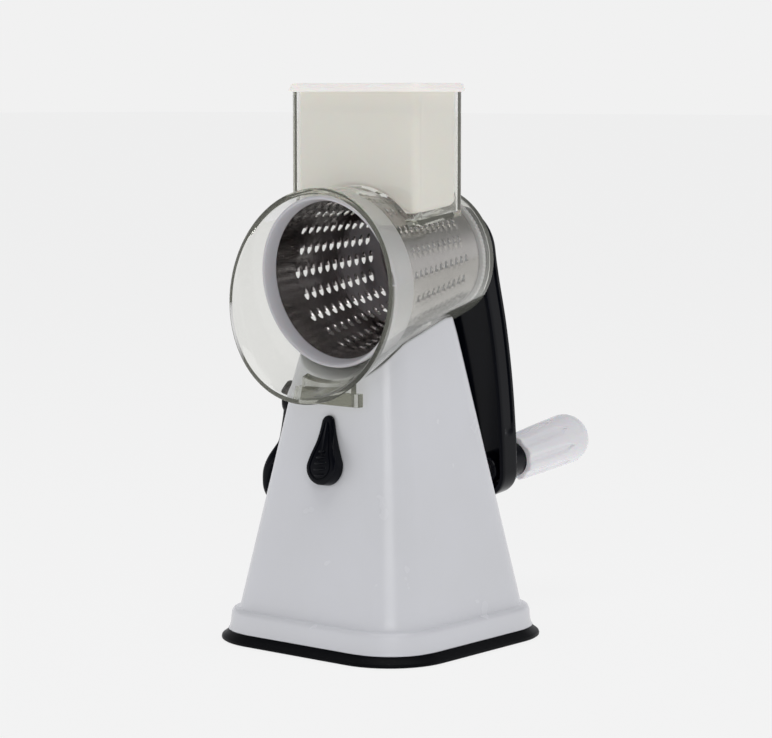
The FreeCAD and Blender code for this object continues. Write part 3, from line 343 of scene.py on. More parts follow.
shell = bmesh.new()
skirt_outline = [(62.1, 5.0), (62.2, 5.25), (61.5, 8.0), (60.95, 12.9), (60.6, 14.0), (59.9, 14.9),
                 (58.9, 15.35), (57.9, 15.5), (57.1, 15.7), (56.65, 16.3)]
outer = [rounded(half, half, 29.0 - (62.0 - half), height) for half, height in skirt_outline]
tower = tower_skin(0.0, 1.1)
inner_outline = [(61.6, 5.0), (59.4, 5.2), (58.4, 13.0), (54.0, 13.2)]
inner = [rounded(half, half, 26.0 - (59.4 - min(half, 59.4)) * 0.5, height) for half, height in inner_outline]
skin(shell, inner[::-1] + outer + tower[1:])
skin(shell, inner[-1:] + tower_skin(WALL, 0.4)[1:])
LEVER_Y, LEVER_Z = -16.0, 117.0
pad = []
for radius, depth in ((0, -30.0), (7.9, -30.0), (7.9, -39.0), (7.5, -39.4), (0, -39.4)):
    centre = Vector((depth, LEVER_Y, LEVER_Z))
    pad.append(circle(centre, Vector((0, 1, 0)), Vector((0, 0, 1)), radius, 48) if radius else [centre])
skin(shell, pad)
piece("housing_shell", shell, white_abs, "stand", ["base_housing"])


# ---------------------------------------------------------------- stand: black foot ring
# A square ring of soft black rubber under the skirt, flared to a thin lip on the table.

black_rubber = moulded("Black_Rubber", "050609", "08090d", 0.45, ripple=0.1, grain=1500.0, **{
    "Specular IOR Level": 0.08})

foot = bmesh.new()
lip_outline = [(54.0, 0.0), (65.5, 0.0), (66.0, 0.35), (66.05, 1.0), (65.8, 1.7), (65.0, 2.3), (63.7, 3.2),
               (62.7, 4.3), (62.3, 4.95), (58.5, 5.0), (58.5, 7.3), (54.0, 7.3)]
lip_rings = [rounded(half, half, max(33.0 - (66.05 - half), 20.0), height) for half, height in lip_outline]
skin(foot, lip_rings, closed=True)
piece("foot_lip", foot, black_rubber, "stand", ["foot_ring"])


# ---------------------------------------------------------------- clear housing
# Hopper, barrel, flared mouth, bearing boss and locking foot in one clear moulding. The plastic
# has a faint olive tone that only shows where one looks along a wall or through a rim.

clear, tree, output = new_material("Clear_Moulded_Plastic")
clear_shader = add(tree, "ShaderNodeBsdfPrincipled",
                   {"Base Color": colour("fbfbf9"), "IOR": 1.42, "Transmission Weight": 1.0},
                   {"Roughness": mottle(tree, 30.0, 0.0, 0.02)})
absorb = add(tree, "ShaderNodeVolumeAbsorption", {"Color": colour("b9ba9c"), "Density": 16.0})
see_through = add(tree, "ShaderNodeBsdfTransparent", {"Color": colour("fdfdfb")})
path = add(tree, "ShaderNodeLightPath")
pass_light = add(tree, "ShaderNodeMath", {},
                 {0: path.outputs["Is Shadow Ray"], 1: path.outputs["Is Diffuse Ray"]}, operation="MAXIMUM")
clear_mix = add(tree, "ShaderNodeMixShader", {}, {0: pass_light.outputs[0], 1: clear_shader.outputs["BSDF"],
                                                  2: see_through.outputs["BSDF"]})
veil = add(tree, "ShaderNodeBsdfDiffuse", {"Color": colour("c9cabf")})
VEIL_SHARE = 0.07
veiled = add(tree, "ShaderNodeMixShader", {0: VEIL_SHARE},
             {1: clear_mix.outputs["Shader"], 2: veil.outputs["BSDF"]})
tree.links.new(veiled.outputs["Shader"], output.inputs["Surface"])
tree.links.new(absorb.outputs["Volume"], output.inputs["Volume"])

HOPPER_HALF, HOPPER_DEEP, HOPPER_MIDDLE = 40.7, 18.2, -3.6
HOPPER_TOP, HOPPER_WALL, HOPPER_CORNER = 270.6, 2.6, 4.0
BARREL_WALL, RIM_WALL = 2.3, 2.8
AROUND = 160
MOUTH_SHARES = (0.2, 0.4, 0.6, 0.8, 0.965)

outside = bmesh.new()
rings = [[on_axis(BARREL_BACK)]]
rings.append(circle(on_axis(BARREL_BACK), RIGHT, DOWN, BARREL_BACK_RADIUS - 0.6, AROUND))
rings.append(circle(on_axis(BARREL_BACK - 0.6), RIGHT, DOWN, BARREL_BACK_RADIUS + 0.1, AROUND))
for number in range(1, 16):
    along = BARREL_BACK + (BARREL_FRONT - BARREL_BACK) * number / 15
    rings.append(circle(on_axis(along), RIGHT, DOWN, barrel_radius(along), AROUND))
for share in MOUTH_SHARES:
    rings.append(scoop_ring(share, BARREL_FRONT_RADIUS, RIM_RADIUS, AROUND))
rings.append(circle(RIM_CENTRE + 0.35 * -RIM_OUT, RIGHT, RIM_DOWN, RIM_RADIUS - 0.1, AROUND))
rings.append(circle(RIM_CENTRE, RIGHT, RIM_DOWN, RIM_RADIUS - 0.7, AROUND))
rings.append([RIM_CENTRE])
skin(outside, rings)
housing = temporary(outside)


def hopper_block(inset, corner, above_axis, top):
    """The hopper's outline from a plane parallel to the drum's axis up to a level top."""
    def lowest(y):
        return AXIS_POINT.z + y * math.tan(TILT) + above_axis / math.cos(TILT)

    mesh = bmesh.new()
    rings = [[Vector((0, HOPPER_MIDDLE, lowest(HOPPER_MIDDLE)))]]
    for share in (0.0, 0.3, 0.65, 1.0):
        ring = rounded(HOPPER_HALF - inset, HOPPER_DEEP - inset, corner, top, HOPPER_MIDDLE, 8, 6)
        for spot in ring:
            low = lowest(spot.y)
            spot.z = low + share * (top - low)
        rings.append(ring)
    skin(mesh, rings + [[Vector((0, HOPPER_MIDDLE, top))]])
    return temporary(mesh)


LEDGE = 24.8
carve(housing, hopper_block(0.0, HOPPER_CORNER, LEDGE, HOPPER_TOP), "UNION")

boss = bmesh.new()
turned(boss, [(0, 46.0), (11.0, 46.0), (11.0, 53.1), (10.5, 53.6), (0, 53.6)], steps=64)
carve(housing, temporary(boss), "UNION")

FOOT_FRONT, FOOT_BACK, FOOT_BOTTOM = -41.0, -37.2, 119.7
NECK_HALF, TAB_HALF, TONGUE_HALF, TONGUE_BACK = 15.6, 19.8, 5.0, -27.5
neck = ((-NECK_HALF, FOOT_FRONT, FOOT_BOTTOM), (NECK_HALF, FOOT_BACK, 133.7))
tabs = ((-TAB_HALF, FOOT_FRONT, FOOT_BOTTOM), (TAB_HALF, FOOT_BACK, 126.1))
tongue = ((-TONGUE_HALF, -38.2, 122.9), (TONGUE_HALF, TONGUE_BACK, 125.5))
hook = ((-TONGUE_HALF, -30.3, 120.2), (TONGUE_HALF, TONGUE_BACK, 124.2))
for low, high in (neck, tabs, tongue, hook):
    carve(housing, temporary(box_mesh(low, high)), "UNION")

inside = bmesh.new()
room_back = on_axis(BARREL_BACK - BARREL_WALL)
rings = [[room_back], circle(room_back, RIGHT, DOWN, BARREL_BACK_RADIUS - BARREL_WALL - 0.3, AROUND)]
for number in range(16):
    along = BARREL_BACK - BARREL_WALL - 0.6 + (BARREL_FRONT - BARREL_BACK + BARREL_WALL + 0.6) * number / 15
    rings.append(circle(on_axis(along), RIGHT, DOWN, barrel_radius(along) - BARREL_WALL, AROUND))
for share in MOUTH_SHARES:
    rings.append(scoop_ring(share, BARREL_FRONT_RADIUS - BARREL_WALL, RIM_RADIUS - RIM_WALL, AROUND))
rings.append(circle(RIM_CENTRE, RIGHT, RIM_DOWN, RIM_RADIUS - RIM_WALL + 0.5, AROUND))
rings.append(circle(RIM_CENTRE + 4 * RIM_OUT, RIGHT, RIM_DOWN, RIM_RADIUS - RIM_WALL + 1.0, AROUND))
rings.append([RIM_CENTRE + 4 * RIM_OUT])
skin(inside, rings)
carve(housing, temporary(inside))

carve(housing, hopper_block(HOPPER_WALL, HOPPER_CORNER - 1.8, LEDGE + HOPPER_WALL, HOPPER_TOP + 2))

bore = bmesh.new()
turned(bore, [(0, 40.0), (8.05, 40.0), (8.05, 60.0), (0, 60.0)], steps=64)
carve(housing, temporary(bore))
piece("clear_housing", taken(housing), clear, "stand", ["drum_housing"], sharp=24.0)


# ---------------------------------------------------------------- pusher
# A hollow block of milky plastic that fills the hopper, hollowed below to follow the drum, and
# a stepped cap of the same plastic that rests on the hopper's rim. Both glow faintly with painted light.

# The emission is a painted glow: it stands in for light that the clear hopper keeps from the pusher and its
# cap.
milky_painted_glow = moulded("Milky_Plastic_Painted_Glow", "f8f4f1", "fbf8f5", 0.38, ripple=0.05, **{
    "Transmission Weight": 0.1, "Subsurface Weight": 0.25, "Subsurface Scale": 0.004,
    "Emission Color": colour("f6f4f2"), "Emission Strength": 0.13})

PUSHER_HALF, PUSHER_DEEP = HOPPER_HALF - HOPPER_WALL - 0.6, HOPPER_DEEP - HOPPER_WALL - 0.6
PUSHER_BASE, ARCH_RADIUS = 30.2, 42.9


def pusher_bottom(x, y):
    """Height of the pusher's underside: straight along the sides, arched over the drum."""
    axis = AXIS_POINT.z + y * math.tan(TILT)
    arch = math.sqrt(max(ARCH_RADIUS ** 2 - x * x, 0.0))
    return axis + max(PUSHER_BASE, arch) / math.cos(TILT)


block = bmesh.new()
rings = [[Vector((0, HOPPER_MIDDLE, pusher_bottom(0, HOPPER_MIDDLE)))]]
for share in (0.15, 0.3, 0.45, 0.6, 0.75, 0.88):
    ring = []
    for spot in rounded(PUSHER_HALF * share, PUSHER_DEEP * share, 3.0 * share, 0.0, HOPPER_MIDDLE, 8, 14):
        ring.append(Vector((spot.x, spot.y, pusher_bottom(spot.x, spot.y))))
    rings.append(ring)
for inset, rise in ((2.6, 0.0), (1.5, 0.35), (0.7, 1.1), (0.15, 2.0), (0.0, 3.0)):
    ring = []
    corner = 3.4 - inset * 0.6
    for spot in rounded(PUSHER_HALF - inset, PUSHER_DEEP - inset, corner, 0.0, HOPPER_MIDDLE, 8, 14):
        ring.append(Vector((spot.x, spot.y, pusher_bottom(spot.x, spot.y) + rise)))
    rings.append(ring)
for height in (235.0, 250.0, HOPPER_TOP):
    rings.append(rounded(PUSHER_HALF, PUSHER_DEEP, 3.4, height, HOPPER_MIDDLE, 8, 14))
rings.append([Vector((0, HOPPER_MIDDLE, HOPPER_TOP))])
skin(block, rings)
piece("pusher_block", block, milky_painted_glow, "pusher", ["pusher_body"])

lid = bmesh.new()
CAP_HALF, CAP_DEEP = 42.4, 19.9
CAP_BOTTOM, CAP_TOP = 270.65, 274.8
steps = [(1.4, CAP_BOTTOM), (0.5, 270.7), (0.1, 271.0), (0.0, 271.6), (0.1, 272.4), (0.6, 272.75),
         (0.75, 272.95), (0.7, 273.2), (0.8, 273.9), (1.2, 274.45), (1.9, 274.75), (3.0, CAP_TOP)]
rings = [[Vector((0, HOPPER_MIDDLE, CAP_BOTTOM))]]
for inset, height in steps:
    rings.append(rounded(CAP_HALF - inset, CAP_DEEP - inset, 5.0 - inset * 0.5, height, HOPPER_MIDDLE))
rings.append([Vector((0, HOPPER_MIDDLE, CAP_TOP))])
skin(lid, rings)
for x in (-33.0, 13.0):
    nub = Matrix.Translation((x, HOPPER_MIDDLE - CAP_DEEP + 1.2, 273.5)) @ Matrix.Diagonal((1.8, 0.9, 1.0, 1))
    bmesh.ops.create_uvsphere(lid, u_segments=20, v_segments=10, radius=1.0, matrix=nub)
piece("pusher_lid", lid, milky_painted_glow, "pusher", ["pusher_cap"])


# ---------------------------------------------------------------- drum: steel cone with its teeth
# Thin polished stainless sheet. Each tooth is an oval cut whose one side is pressed outwards
# into a small hood with a sharp lip; long rows of teeth alternate with rows one tooth shorter.

steel, tree, output = new_material("Polished_Stainless_Sheet")
brush_place = add(tree, "ShaderNodeTexCoord")
brush_scale = add(tree, "ShaderNodeMapping", {"Scale": (1.0, 14.0, 1.0)},
                  {"Vector": brush_place.outputs["Object"]})
brush = add(tree, "ShaderNodeTexNoise", {"Scale": 120.0, "Detail": 2.0},
            {"Vector": brush_scale.outputs["Vector"]})
brush_bump = add(tree, "ShaderNodeBump", {"Strength": 0.03, "Distance": 0.0002},
                 {"Height": brush.outputs["Fac"]})
steel_tone = add(tree, "ShaderNodeMix", {"A": colour("aaa5a4"), "B": colour("b9b5b4")},
                 {"Factor": mottle(tree, 35.0, 0.0, 1.0)}, data_type="RGBA")
steel_shader = add(tree, "ShaderNodeBsdfPrincipled", {"Metallic": 1.0},
                   {"Base Color": steel_tone.outputs["Result"], "Roughness": mottle(tree, 80.0, 0.12, 0.2),
                    "Normal": brush_bump.outputs["Normal"]})
tree.links.new(steel_shader.outputs["BSDF"], output.inputs["Surface"])

ROWS, ROW_TEETH = 20, 11
PITCH, FIRST_TOOTH = 4.83, -20.3
DRUM_FRONT, DRUM_FRONT_RADIUS = -34.0, 39.4
DRUM_BACK, DRUM_BACK_RADIUS = 41.0, 28.6
HOOD_HEIGHT = 1.15


def drum_radius(along):
    share = (along - DRUM_FRONT) / (DRUM_BACK - DRUM_FRONT)
    return DRUM_FRONT_RADIUS + share * (DRUM_BACK_RADIUS - DRUM_FRONT_RADIUS)


def drum_point(turn, along, raised=0.0):
    """A point of the drum's outer surface, or a little outside it."""
    radius = drum_radius(along) + raised
    return on_axis(along, radius * math.sin(turn), radius * math.cos(turn))


def drum_patch(mesh, turn, half_turn, starts):
    """Plain sheet across one row's width, between the given distances along the axis."""
    columns = [turn + half_turn * share for share in (-1.0, -0.5, 0.0, 0.5, 1.0)]
    for low, high in zip(starts, starts[1:]):
        for left, right in zip(columns, columns[1:]):
            mesh.faces.new([mesh.verts.new(drum_point(a, b)) for a, b in
                            ((left, low), (right, low), (right, high), (left, high))])


def drum_tooth(mesh, turn, half_turn, along):
    """The sheet round one tooth and the tooth's hood."""
    half = PITCH / 2
    border = [(1.0, 0.0), (1.0, 0.5), (1.0, 1.0), (0.5, 1.0), (0.0, 1.0), (-0.5, 1.0), (-1.0, 1.0),
              (-1.0, 0.5), (-1.0, 0.0), (-1.0, -0.5), (-1.0, -1.0), (-0.5, -1.0), (0.0, -1.0), (0.5, -1.0),
              (1.0, -1.0), (1.0, -0.5)]
    radius = drum_radius(along)
    long_half, short_half = 3.3 / radius, 1.55

    def oval(number):
        angle = math.tau * number / 16
        return math.cos(angle) * long_half, math.sin(angle) * short_half

    edge = [mesh.verts.new(drum_point(turn + u, along + v)) for u, v in map(oval, range(16))]
    outer_edge = [mesh.verts.new(drum_point(turn + half_turn * u, along + half * v)) for u, v in border]
    for number in range(16):
        after = (number + 1) % 16
        mesh.faces.new([outer_edge[number], outer_edge[after], edge[after], edge[number]])
    tip = edge[0]
    rows = []
    for step in range(1, 5):
        u_share = math.cos(math.tau * step / 16)
        rise = HOOD_HEIGHT * math.sin(math.pi / 2 * (1 - u_share))
        width = math.sin(math.tau * step / 16) * short_half
        row = [edge[step]]
        for share in (0.6, 0.0, -0.6):
            arch = math.sqrt(1 - share * share)
            spot = drum_point(turn + u_share * long_half, along + width * share, rise * arch)
            row.append(mesh.verts.new(spot))
        row.append(edge[-step])
        rows.append(row)
    for left, right in zip(rows[0], rows[0][1:]):
        mesh.faces.new([tip, left, right])
    for first, second in zip(rows, rows[1:]):
        for number in range(4):
            mesh.faces.new([first[number], second[number], second[number + 1], first[number + 1]])


sheet = bmesh.new()
half_turn = math.pi / ROWS
block_start = FIRST_TOOTH - PITCH / 2
block_end = block_start + ROW_TEETH * PITCH
front_steps = [DRUM_FRONT, -30.0, -26.0, block_start]
back_steps = [block_end, 34.0, 37.5, DRUM_BACK]
for row in range(ROWS):
    turn = math.tau * row / ROWS
    short = row % 2
    drum_patch(sheet, turn, half_turn, front_steps)
    drum_patch(sheet, turn, half_turn, back_steps)
    if short:
        drum_patch(sheet, turn, half_turn, [block_start, block_start + PITCH / 2])
        drum_patch(sheet, turn, half_turn, [block_end - PITCH / 2, block_end])
    for tooth in range(ROW_TEETH - short):
        drum_tooth(sheet, turn, half_turn, FIRST_TOOTH + (tooth + 0.5 * short) * PITCH)
bmesh.ops.remove_doubles(sheet, verts=sheet.verts, dist=0.01)
turned(sheet, [(DRUM_BACK_RADIUS, DRUM_BACK), (DRUM_BACK_RADIUS - 0.4, DRUM_BACK + 0.02), (22.7, DRUM_BACK)],
       steps=ROWS * 4)
drum = piece("drum_sheet", sheet, steel, "crank", ["drum_shell"], sharp=38.0)
thicken = drum.modifiers.new("Sheet", "SOLIDIFY")
thicken.thickness = 0.0006
thicken.offset = -1.0


# ---------------------------------------------------------------- drum: white ring, hub and shaft
# Glossy lilac-white mouldings: the ring that carries the drum's front edge in the mouth and the
# reeded hub behind the steel, with its square socket boss.

drum_white = moulded("Lilac_White_Plastic", "c8c7cd", "cfced3", 0.22, ripple=0.03, **{
    "Subsurface Weight": 0.1, "Subsurface Scale": 0.002})

ring_mesh = bmesh.new()
turned(ring_mesh, [(39.55, -34.1), (39.0, -34.2), (39.1, -35.6), (39.7, -38.6), (40.1, -40.0), (40.6, -40.9),
                   (41.3, -41.2), (41.9, -40.9), (42.2, -40.2), (42.1, -38.0), (40.7, -26.9), (40.45, -26.5),
                   (38.6, -26.5), (38.6, -28.0), (39.5, -33.9)], steps=160, closed=True)
piece("front_ring", ring_mesh, drum_white, "crank", ["drum_front_ring"])

hub = bmesh.new()
REEDS = 90


def reeded(radius, along):
    """A ring with a shallow reed cut at every other pair of points."""
    ring = []
    for step in range(REEDS * 4):
        turn = math.tau * step / (REEDS * 4)
        depth = 0.35 if step % 4 in (0, 1) else 0.0
        ring.append(on_axis(along, (radius - depth) * math.sin(turn), (radius - depth) * math.cos(turn)))
    return ring


def plain(radius, along):
    return circle(on_axis(along), RIGHT, DOWN, radius, REEDS * 4)


skin(hub, [[on_axis(39.8)], plain(9.0, 39.8), plain(20.0, 39.8), plain(21.9, 39.8), plain(22.1, 40.0),
           plain(22.1, 41.1), plain(27.1, 41.1), plain(27.1, 42.3), reeded(29.8, 42.3), reeded(30.1, 42.6),
           reeded(30.1, 44.2), reeded(29.8, 44.6), plain(28.5, 44.6), plain(12.0, 44.6), [on_axis(44.6)]])
turned(hub, [(0, 40.5), (9.5, 40.5), (9.5, 34.2), (9.0, 33.6), (0, 33.6)], steps=64)
piece("drum_hub_disc", hub, drum_white, "crank", ["drum_hub"])


# ---------------------------------------------------------------- crank arm
# A blue-black polished channel moulding that bows away from the stand. It is open towards the
# stand, with a shallow groove down both side walls and bosses for the shaft and the handle.

black_abs = moulded("Black_Polished_Plastic", "05070d", "080a12", 0.14, ripple=0.006, **{
    "Specular IOR Level": 0.12})

CRANK = 119.0
HUB_END, HANDLE_END = 21.0, 14.6
ARM_DEPTH, ARM_FLOOR, ARM_WALL = 12.6, 3.0, 2.6
ARM_LINE = [(-30.0, 64.9), (0.0, 66.5), (14.3, 68.7), (41.6, 74.2), (71.4, 78.1), (101.0, 79.9),
            (119.0, 80.0), (145.0, 80.0)]
GROOVE_END, GROOVE_HALF, GROOVE_DEPTH = 99.5, 3.6, 0.9


def arm_outline(inset):
    """Half of the arm's outline seen from behind, from its top to its bottom: (half width, down)."""
    top, end = HUB_END - inset, HANDLE_END - inset
    lean = math.asin((HUB_END - HANDLE_END) / CRANK)
    points = []
    for step in range(17):
        turn = math.radians(90) - (math.radians(90) + lean) * step / 16
        points.append((top * math.cos(turn), -top * math.sin(turn)))
    straight = 90
    first = points[-1]
    last = (end * math.cos(lean), CRANK + end * math.sin(lean))
    for step in range(1, straight):
        share = step / straight
        points.append((first[0] + share * (last[0] - first[0]), first[1] + share * (last[1] - first[1])))
    for step in range(17):
        turn = lean + (math.radians(90) - lean) * step / 16
        points.append((end * math.cos(turn), CRANK + end * math.sin(turn)))
    return points


def arm_ring(inset, shift, groove=0.0, across=0.0):
    """The arm's outline at a distance in front of its back face."""
    right, left = [], []
    for half, down in arm_outline(inset):
        depth = 0.0
        if groove and 0.0 < down:
            reach = GROOVE_END - GROOVE_HALF + math.sqrt(max(GROOVE_HALF ** 2 - across ** 2, 0.0))
            depth = groove * min(1.0, max(0.0, (reach - down) / 0.8))
        along = follow(ARM_LINE, down) - shift
        right.append(on_axis(along, down, half - depth))
        left.append(on_axis(along, down, depth - half))
    return right + left[-2:0:-1]


def arm_cap(mesh, inset, shift):
    """The face inside an outline, in strips from side to side."""
    half = arm_outline(inset)
    shares = (-1.0, -0.5, 0.0, 0.5, 1.0)
    rows = []
    for wide, down in half:
        along = follow(ARM_LINE, down) - shift
        rows.append([mesh.verts.new(on_axis(along, down, wide * share)) for share in shares])
    for first, second in zip(rows, rows[1:]):
        for number in range(4):
            corners = [first[number], second[number], second[number + 1], first[number + 1]]
            mesh.faces.new(corners)


arm = bmesh.new()
middle = ARM_DEPTH / 2
side = [(1.0, 0.0, 0.0), (0.45, 0.15, 0.0), (0.12, 0.5, 0.0), (0.0, 1.1, 0.0)]
for across in (-GROOVE_HALF - 0.35, -GROOVE_HALF, -GROOVE_HALF * 0.8, -GROOVE_HALF * 0.4, 0.0,
               GROOVE_HALF * 0.4, GROOVE_HALF * 0.8, GROOVE_HALF, GROOVE_HALF + 0.35):
    side.append((0.0, middle + across, GROOVE_DEPTH if abs(across) <= GROOVE_HALF else 0.0))
side += [(0.0, ARM_DEPTH - 0.6, 0.0), (0.2, ARM_DEPTH - 0.1, 0.0), (0.6, ARM_DEPTH, 0.0),
         (ARM_WALL - 0.4, ARM_DEPTH, 0.0), (ARM_WALL, ARM_DEPTH - 0.4, 0.0), (ARM_WALL, ARM_FLOOR + 0.6, 0.0),
         (ARM_WALL + 0.5, ARM_FLOOR, 0.0)]
skin(arm, [arm_ring(inset, shift, groove, shift - middle) for inset, shift, groove in side])
arm_cap(arm, 1.0, 0.0)
arm_cap(arm, ARM_WALL + 0.5, ARM_FLOOR)
bmesh.ops.remove_doubles(arm, verts=arm.verts, dist=0.01)
turned(arm, [(4.2, 55.9), (9.6, 55.9), (10.0, 56.3), (10.0, 64.0), (4.2, 64.0)], steps=64, closed=True)
turned(arm, [(3.6, 69.6), (7.6, 69.6), (8.0, 70.0), (8.0, 77.5), (3.6, 77.5)], down=CRANK, steps=64,
       closed=True)
piece("crank_channel", arm, black_abs, "crank", ["crank_arm"])


# ---------------------------------------------------------------- handle
# A black collar on the arm and a glossy lilac-white handle that spins on a steel axle: slim at
# its root, a round end, and eight shallow flutes that finish in a point.

collar = bmesh.new()
turned(collar, [(3.6, 80.1), (10.9, 80.1), (11.2, 80.4), (11.1, 81.2), (10.0, 81.8), (9.7, 83.0), (9.6, 94.5),
                (9.2, 95.1), (3.6, 95.1)], down=CRANK, steps=80, closed=True)
piece("grip_collar", collar, black_abs, "crank", ["handle_collar"])

grip_white = moulded("Handle_White_Plastic", "f4f3f8", "f8f7fb", 0.24, ripple=0.03, **{
    "Subsurface Weight": 0.1, "Subsurface Scale": 0.002})

GRIP_ROOT, GRIP_ROOT_RADIUS = 95.5, 12.2
DOME_AT, DOME_RADIUS = 141.0, 13.6
FLUTES, FLUTE_DEPTH = 8, 0.9
FLUTE_TIP = 133.0
FLUTE_HALF = math.radians(14.0)
GRIP_AROUND = 240
AXLE_BORE, BORE_END = 3.6, 134.9

grip = bmesh.new()
stations = [(GRIP_ROOT_RADIUS - 0.9, GRIP_ROOT), (GRIP_ROOT_RADIUS - 0.3, GRIP_ROOT + 0.25),
            (GRIP_ROOT_RADIUS, GRIP_ROOT + 0.9)]
for step in range(1, 46):
    along = GRIP_ROOT + 0.9 + (DOME_AT - GRIP_ROOT - 0.9) * step / 45
    share = (along - GRIP_ROOT) / (DOME_AT - GRIP_ROOT)
    stations.append((GRIP_ROOT_RADIUS + share * (DOME_RADIUS - GRIP_ROOT_RADIUS), along))
for step in range(1, 16):
    turn = math.radians(90) * step / 16
    stations.append((DOME_RADIUS * math.cos(turn), DOME_AT + DOME_RADIUS * math.sin(turn)))
rings = []
for radius, along in stations:
    ring = []
    for step in range(GRIP_AROUND):
        turn = math.tau * step / GRIP_AROUND
        local = (turn + math.pi / FLUTES) % (math.tau / FLUTES) - math.pi / FLUTES
        half_width = FLUTE_HALF * min(1.0, max(0.0, (FLUTE_TIP - along) / 7.0))
        inside_flute = max(0.0, 1 - abs(local) / half_width) if half_width > 0 else 0.0
        cut = FLUTE_DEPTH * min(1.0, inside_flute * 1.6)
        ring.append(on_axis(along, CRANK + (radius - cut) * math.sin(turn), (radius - cut) * math.cos(turn)))
    rings.append(ring)
bore_rings = [circle(on_axis(along, CRANK), RIGHT, DOWN, AXLE_BORE, GRIP_AROUND)
              for along in (BORE_END, GRIP_ROOT)]
skin(grip, [[on_axis(BORE_END, CRANK)]] + bore_rings + rings + [[on_axis(DOME_AT + DOME_RADIUS, CRANK)]])
piece("grip_body", grip, grip_white, "grip", ["handle_grip"], sharp=50.0)


# ---------------------------------------------------------------- lock knob
# A polished blue-black teardrop on the front face: thin at its pivot, thick at its paddle, with
# a raised pad inside a fine groove and five ribs for the thumb.

FACE_LEAN = math.atan((TOWER_FOOT_HALF - TOWER_TOP_HALF) / (TOWER_TOP - TOWER_FOOT))
KNOB_HEIGHT = 110.4
KNOB_PIVOT = Vector((0, -(TOWER_FOOT_HALF - (KNOB_HEIGHT - TOWER_FOOT) * math.tan(FACE_LEAN)), KNOB_HEIGHT))
KNOB_OUT = Vector((0, -math.cos(FACE_LEAN), math.sin(FACE_LEAN)))
FACE_UP = Vector((0, math.sin(FACE_LEAN), math.cos(FACE_LEAN)))
KNOB_TURN = math.radians(8.6)
KNOB_DOWN = -math.cos(KNOB_TURN) * FACE_UP + math.sin(KNOB_TURN) * RIGHT
KNOB_RIGHT = math.cos(KNOB_TURN) * RIGHT + math.sin(KNOB_TURN) * FACE_UP
KNOB_REACH, KNOB_NECK, KNOB_END = 21.4, 3.9, 9.1
KNOB_LINE = [(-6.0, 2.1), (0.0, 2.3), (8.6, 4.0), (15.0, 6.3), (21.4, 7.4), (27.8, 7.2), (31.0, 6.9)]


def teardrop(inset, lift, level=None):
    """A ring of the knob's outline moved in, at a height under its front face or at a level."""
    top, end = max(KNOB_NECK - inset, 0.25), KNOB_END - inset
    lean = math.asin((end - top) / KNOB_REACH)
    points = []
    for step in range(13):
        turn = -math.radians(90) + (math.radians(90) - lean) * step / 12
        points.append((top * math.cos(turn), top * math.sin(turn)))
    first = (top * math.cos(lean), -top * math.sin(lean))
    last = (end * math.cos(lean), KNOB_REACH - end * math.sin(lean))
    for step in range(1, 24):
        share = step / 24
        points.append((first[0] + share * (last[0] - first[0]) - 0.5 * math.sin(math.pi * share),
                       first[1] + share * (last[1] - first[1])))
    for step in range(25):
        turn = -lean + (math.radians(90) + lean) * step / 24
        points.append((end * math.cos(turn), KNOB_REACH + end * math.sin(turn)))
    ring = []
    for side, run in ((1, points), (-1, points[-2:0:-1])):
        for half, down in run:
            height = level if level is not None else follow(KNOB_LINE, down) - lift
            ring.append(KNOB_PIVOT + side * half * KNOB_RIGHT + down * KNOB_DOWN + height * KNOB_OUT)
    return ring


def knob_spot(right, down, height):
    return KNOB_PIVOT + right * KNOB_RIGHT + down * KNOB_DOWN + height * KNOB_OUT


knob = bmesh.new()
rings = [[knob_spot(0, KNOB_REACH / 2, 0.5)], teardrop(0.6, 0, 0.5), teardrop(0.0, 0, 0.9)]
for inset, lift in ((0.0, 1.0), (0.2, 0.45), (0.7, 0.1), (1.3, 0.0), (2.3, 0.0), (2.5, 0.45), (3.0, 0.45),
                    (3.2, 0.05), (3.8, 0.0)):
    rings.append(teardrop(inset, lift))
skin(knob, rings + [[knob_spot(0, KNOB_REACH, follow(KNOB_LINE, KNOB_REACH))]])
for number in range(5):
    down = 14.2 + 2.9 * number
    half = (2.0, 3.2, 4.0, 4.3, 3.8)[number]
    low = follow(KNOB_LINE, down) - 0.05
    bar = Matrix(((*KNOB_RIGHT, 0), (*KNOB_DOWN, 0), (*KNOB_OUT, 0), (0, 0, 0, 1))).transposed()
    bar = Matrix.Translation(knob_spot(0, down, low)) @ bar @ Matrix.Diagonal((half, 0.8, 0.85, 1))
    bmesh.ops.create_uvsphere(knob, u_segments=24, v_segments=12, radius=1.0, matrix=bar)
shaft_rings = [[knob_spot(0, 0, 2.0)]]
shaft_rings += [circle(knob_spot(0, 0, height), KNOB_RIGHT, KNOB_DOWN, 3.0, 32) for height in (2.0, -5.5)]
skin(knob, shaft_rings + [[knob_spot(0, 0, -5.5)]])
piece("knob_teardrop", knob, black_abs, "knob", ["lock_knob"])


# ---------------------------------------------------------------- suction lever
# A polished blue-black lever on the left of the stand: a round hub, a thin neck that lies along
# the slope and a paddle that stands off at its tip.

LEVER_HUB = Vector((-39.8, LEVER_Y, LEVER_Z))
HUB_RADIUS = 7.5
LEVER_HALF = [(-53.0, 0.8), (-52.0, 3.0), (-49.8, 5.5), (-47.0, 7.8), (-43.5, 9.6), (-37.0, 10.9),
              (-32.0, 10.6), (-28.5, 9.6), (-24.0, 7.3), (-21.2, 5.7), (-16.0, 5.0), (-10.5, 5.0),
              (-5.6, 5.4)]
LEVER_OUTER = [(-54.5, 18.8), (-48.0, 18.0), (-42.0, 17.2), (-35.0, 16.2), (-28.5, 14.1), (-21.5, 10.8),
               (-16.0, 9.8), (-10.5, 9.0), (-5.7, 8.2), (0.0, 7.0), (8.0, 7.0)]
LEVER_INNER = [(-54.5, 17.2), (-48.0, 15.3), (-41.0, 12.8), (-34.0, 10.0), (-28.0, 7.0), (-21.0, 5.0),
               (-15.0, 3.4), (-10.5, 1.6), (-7.6, 0.2), (8.0, 0.2)]


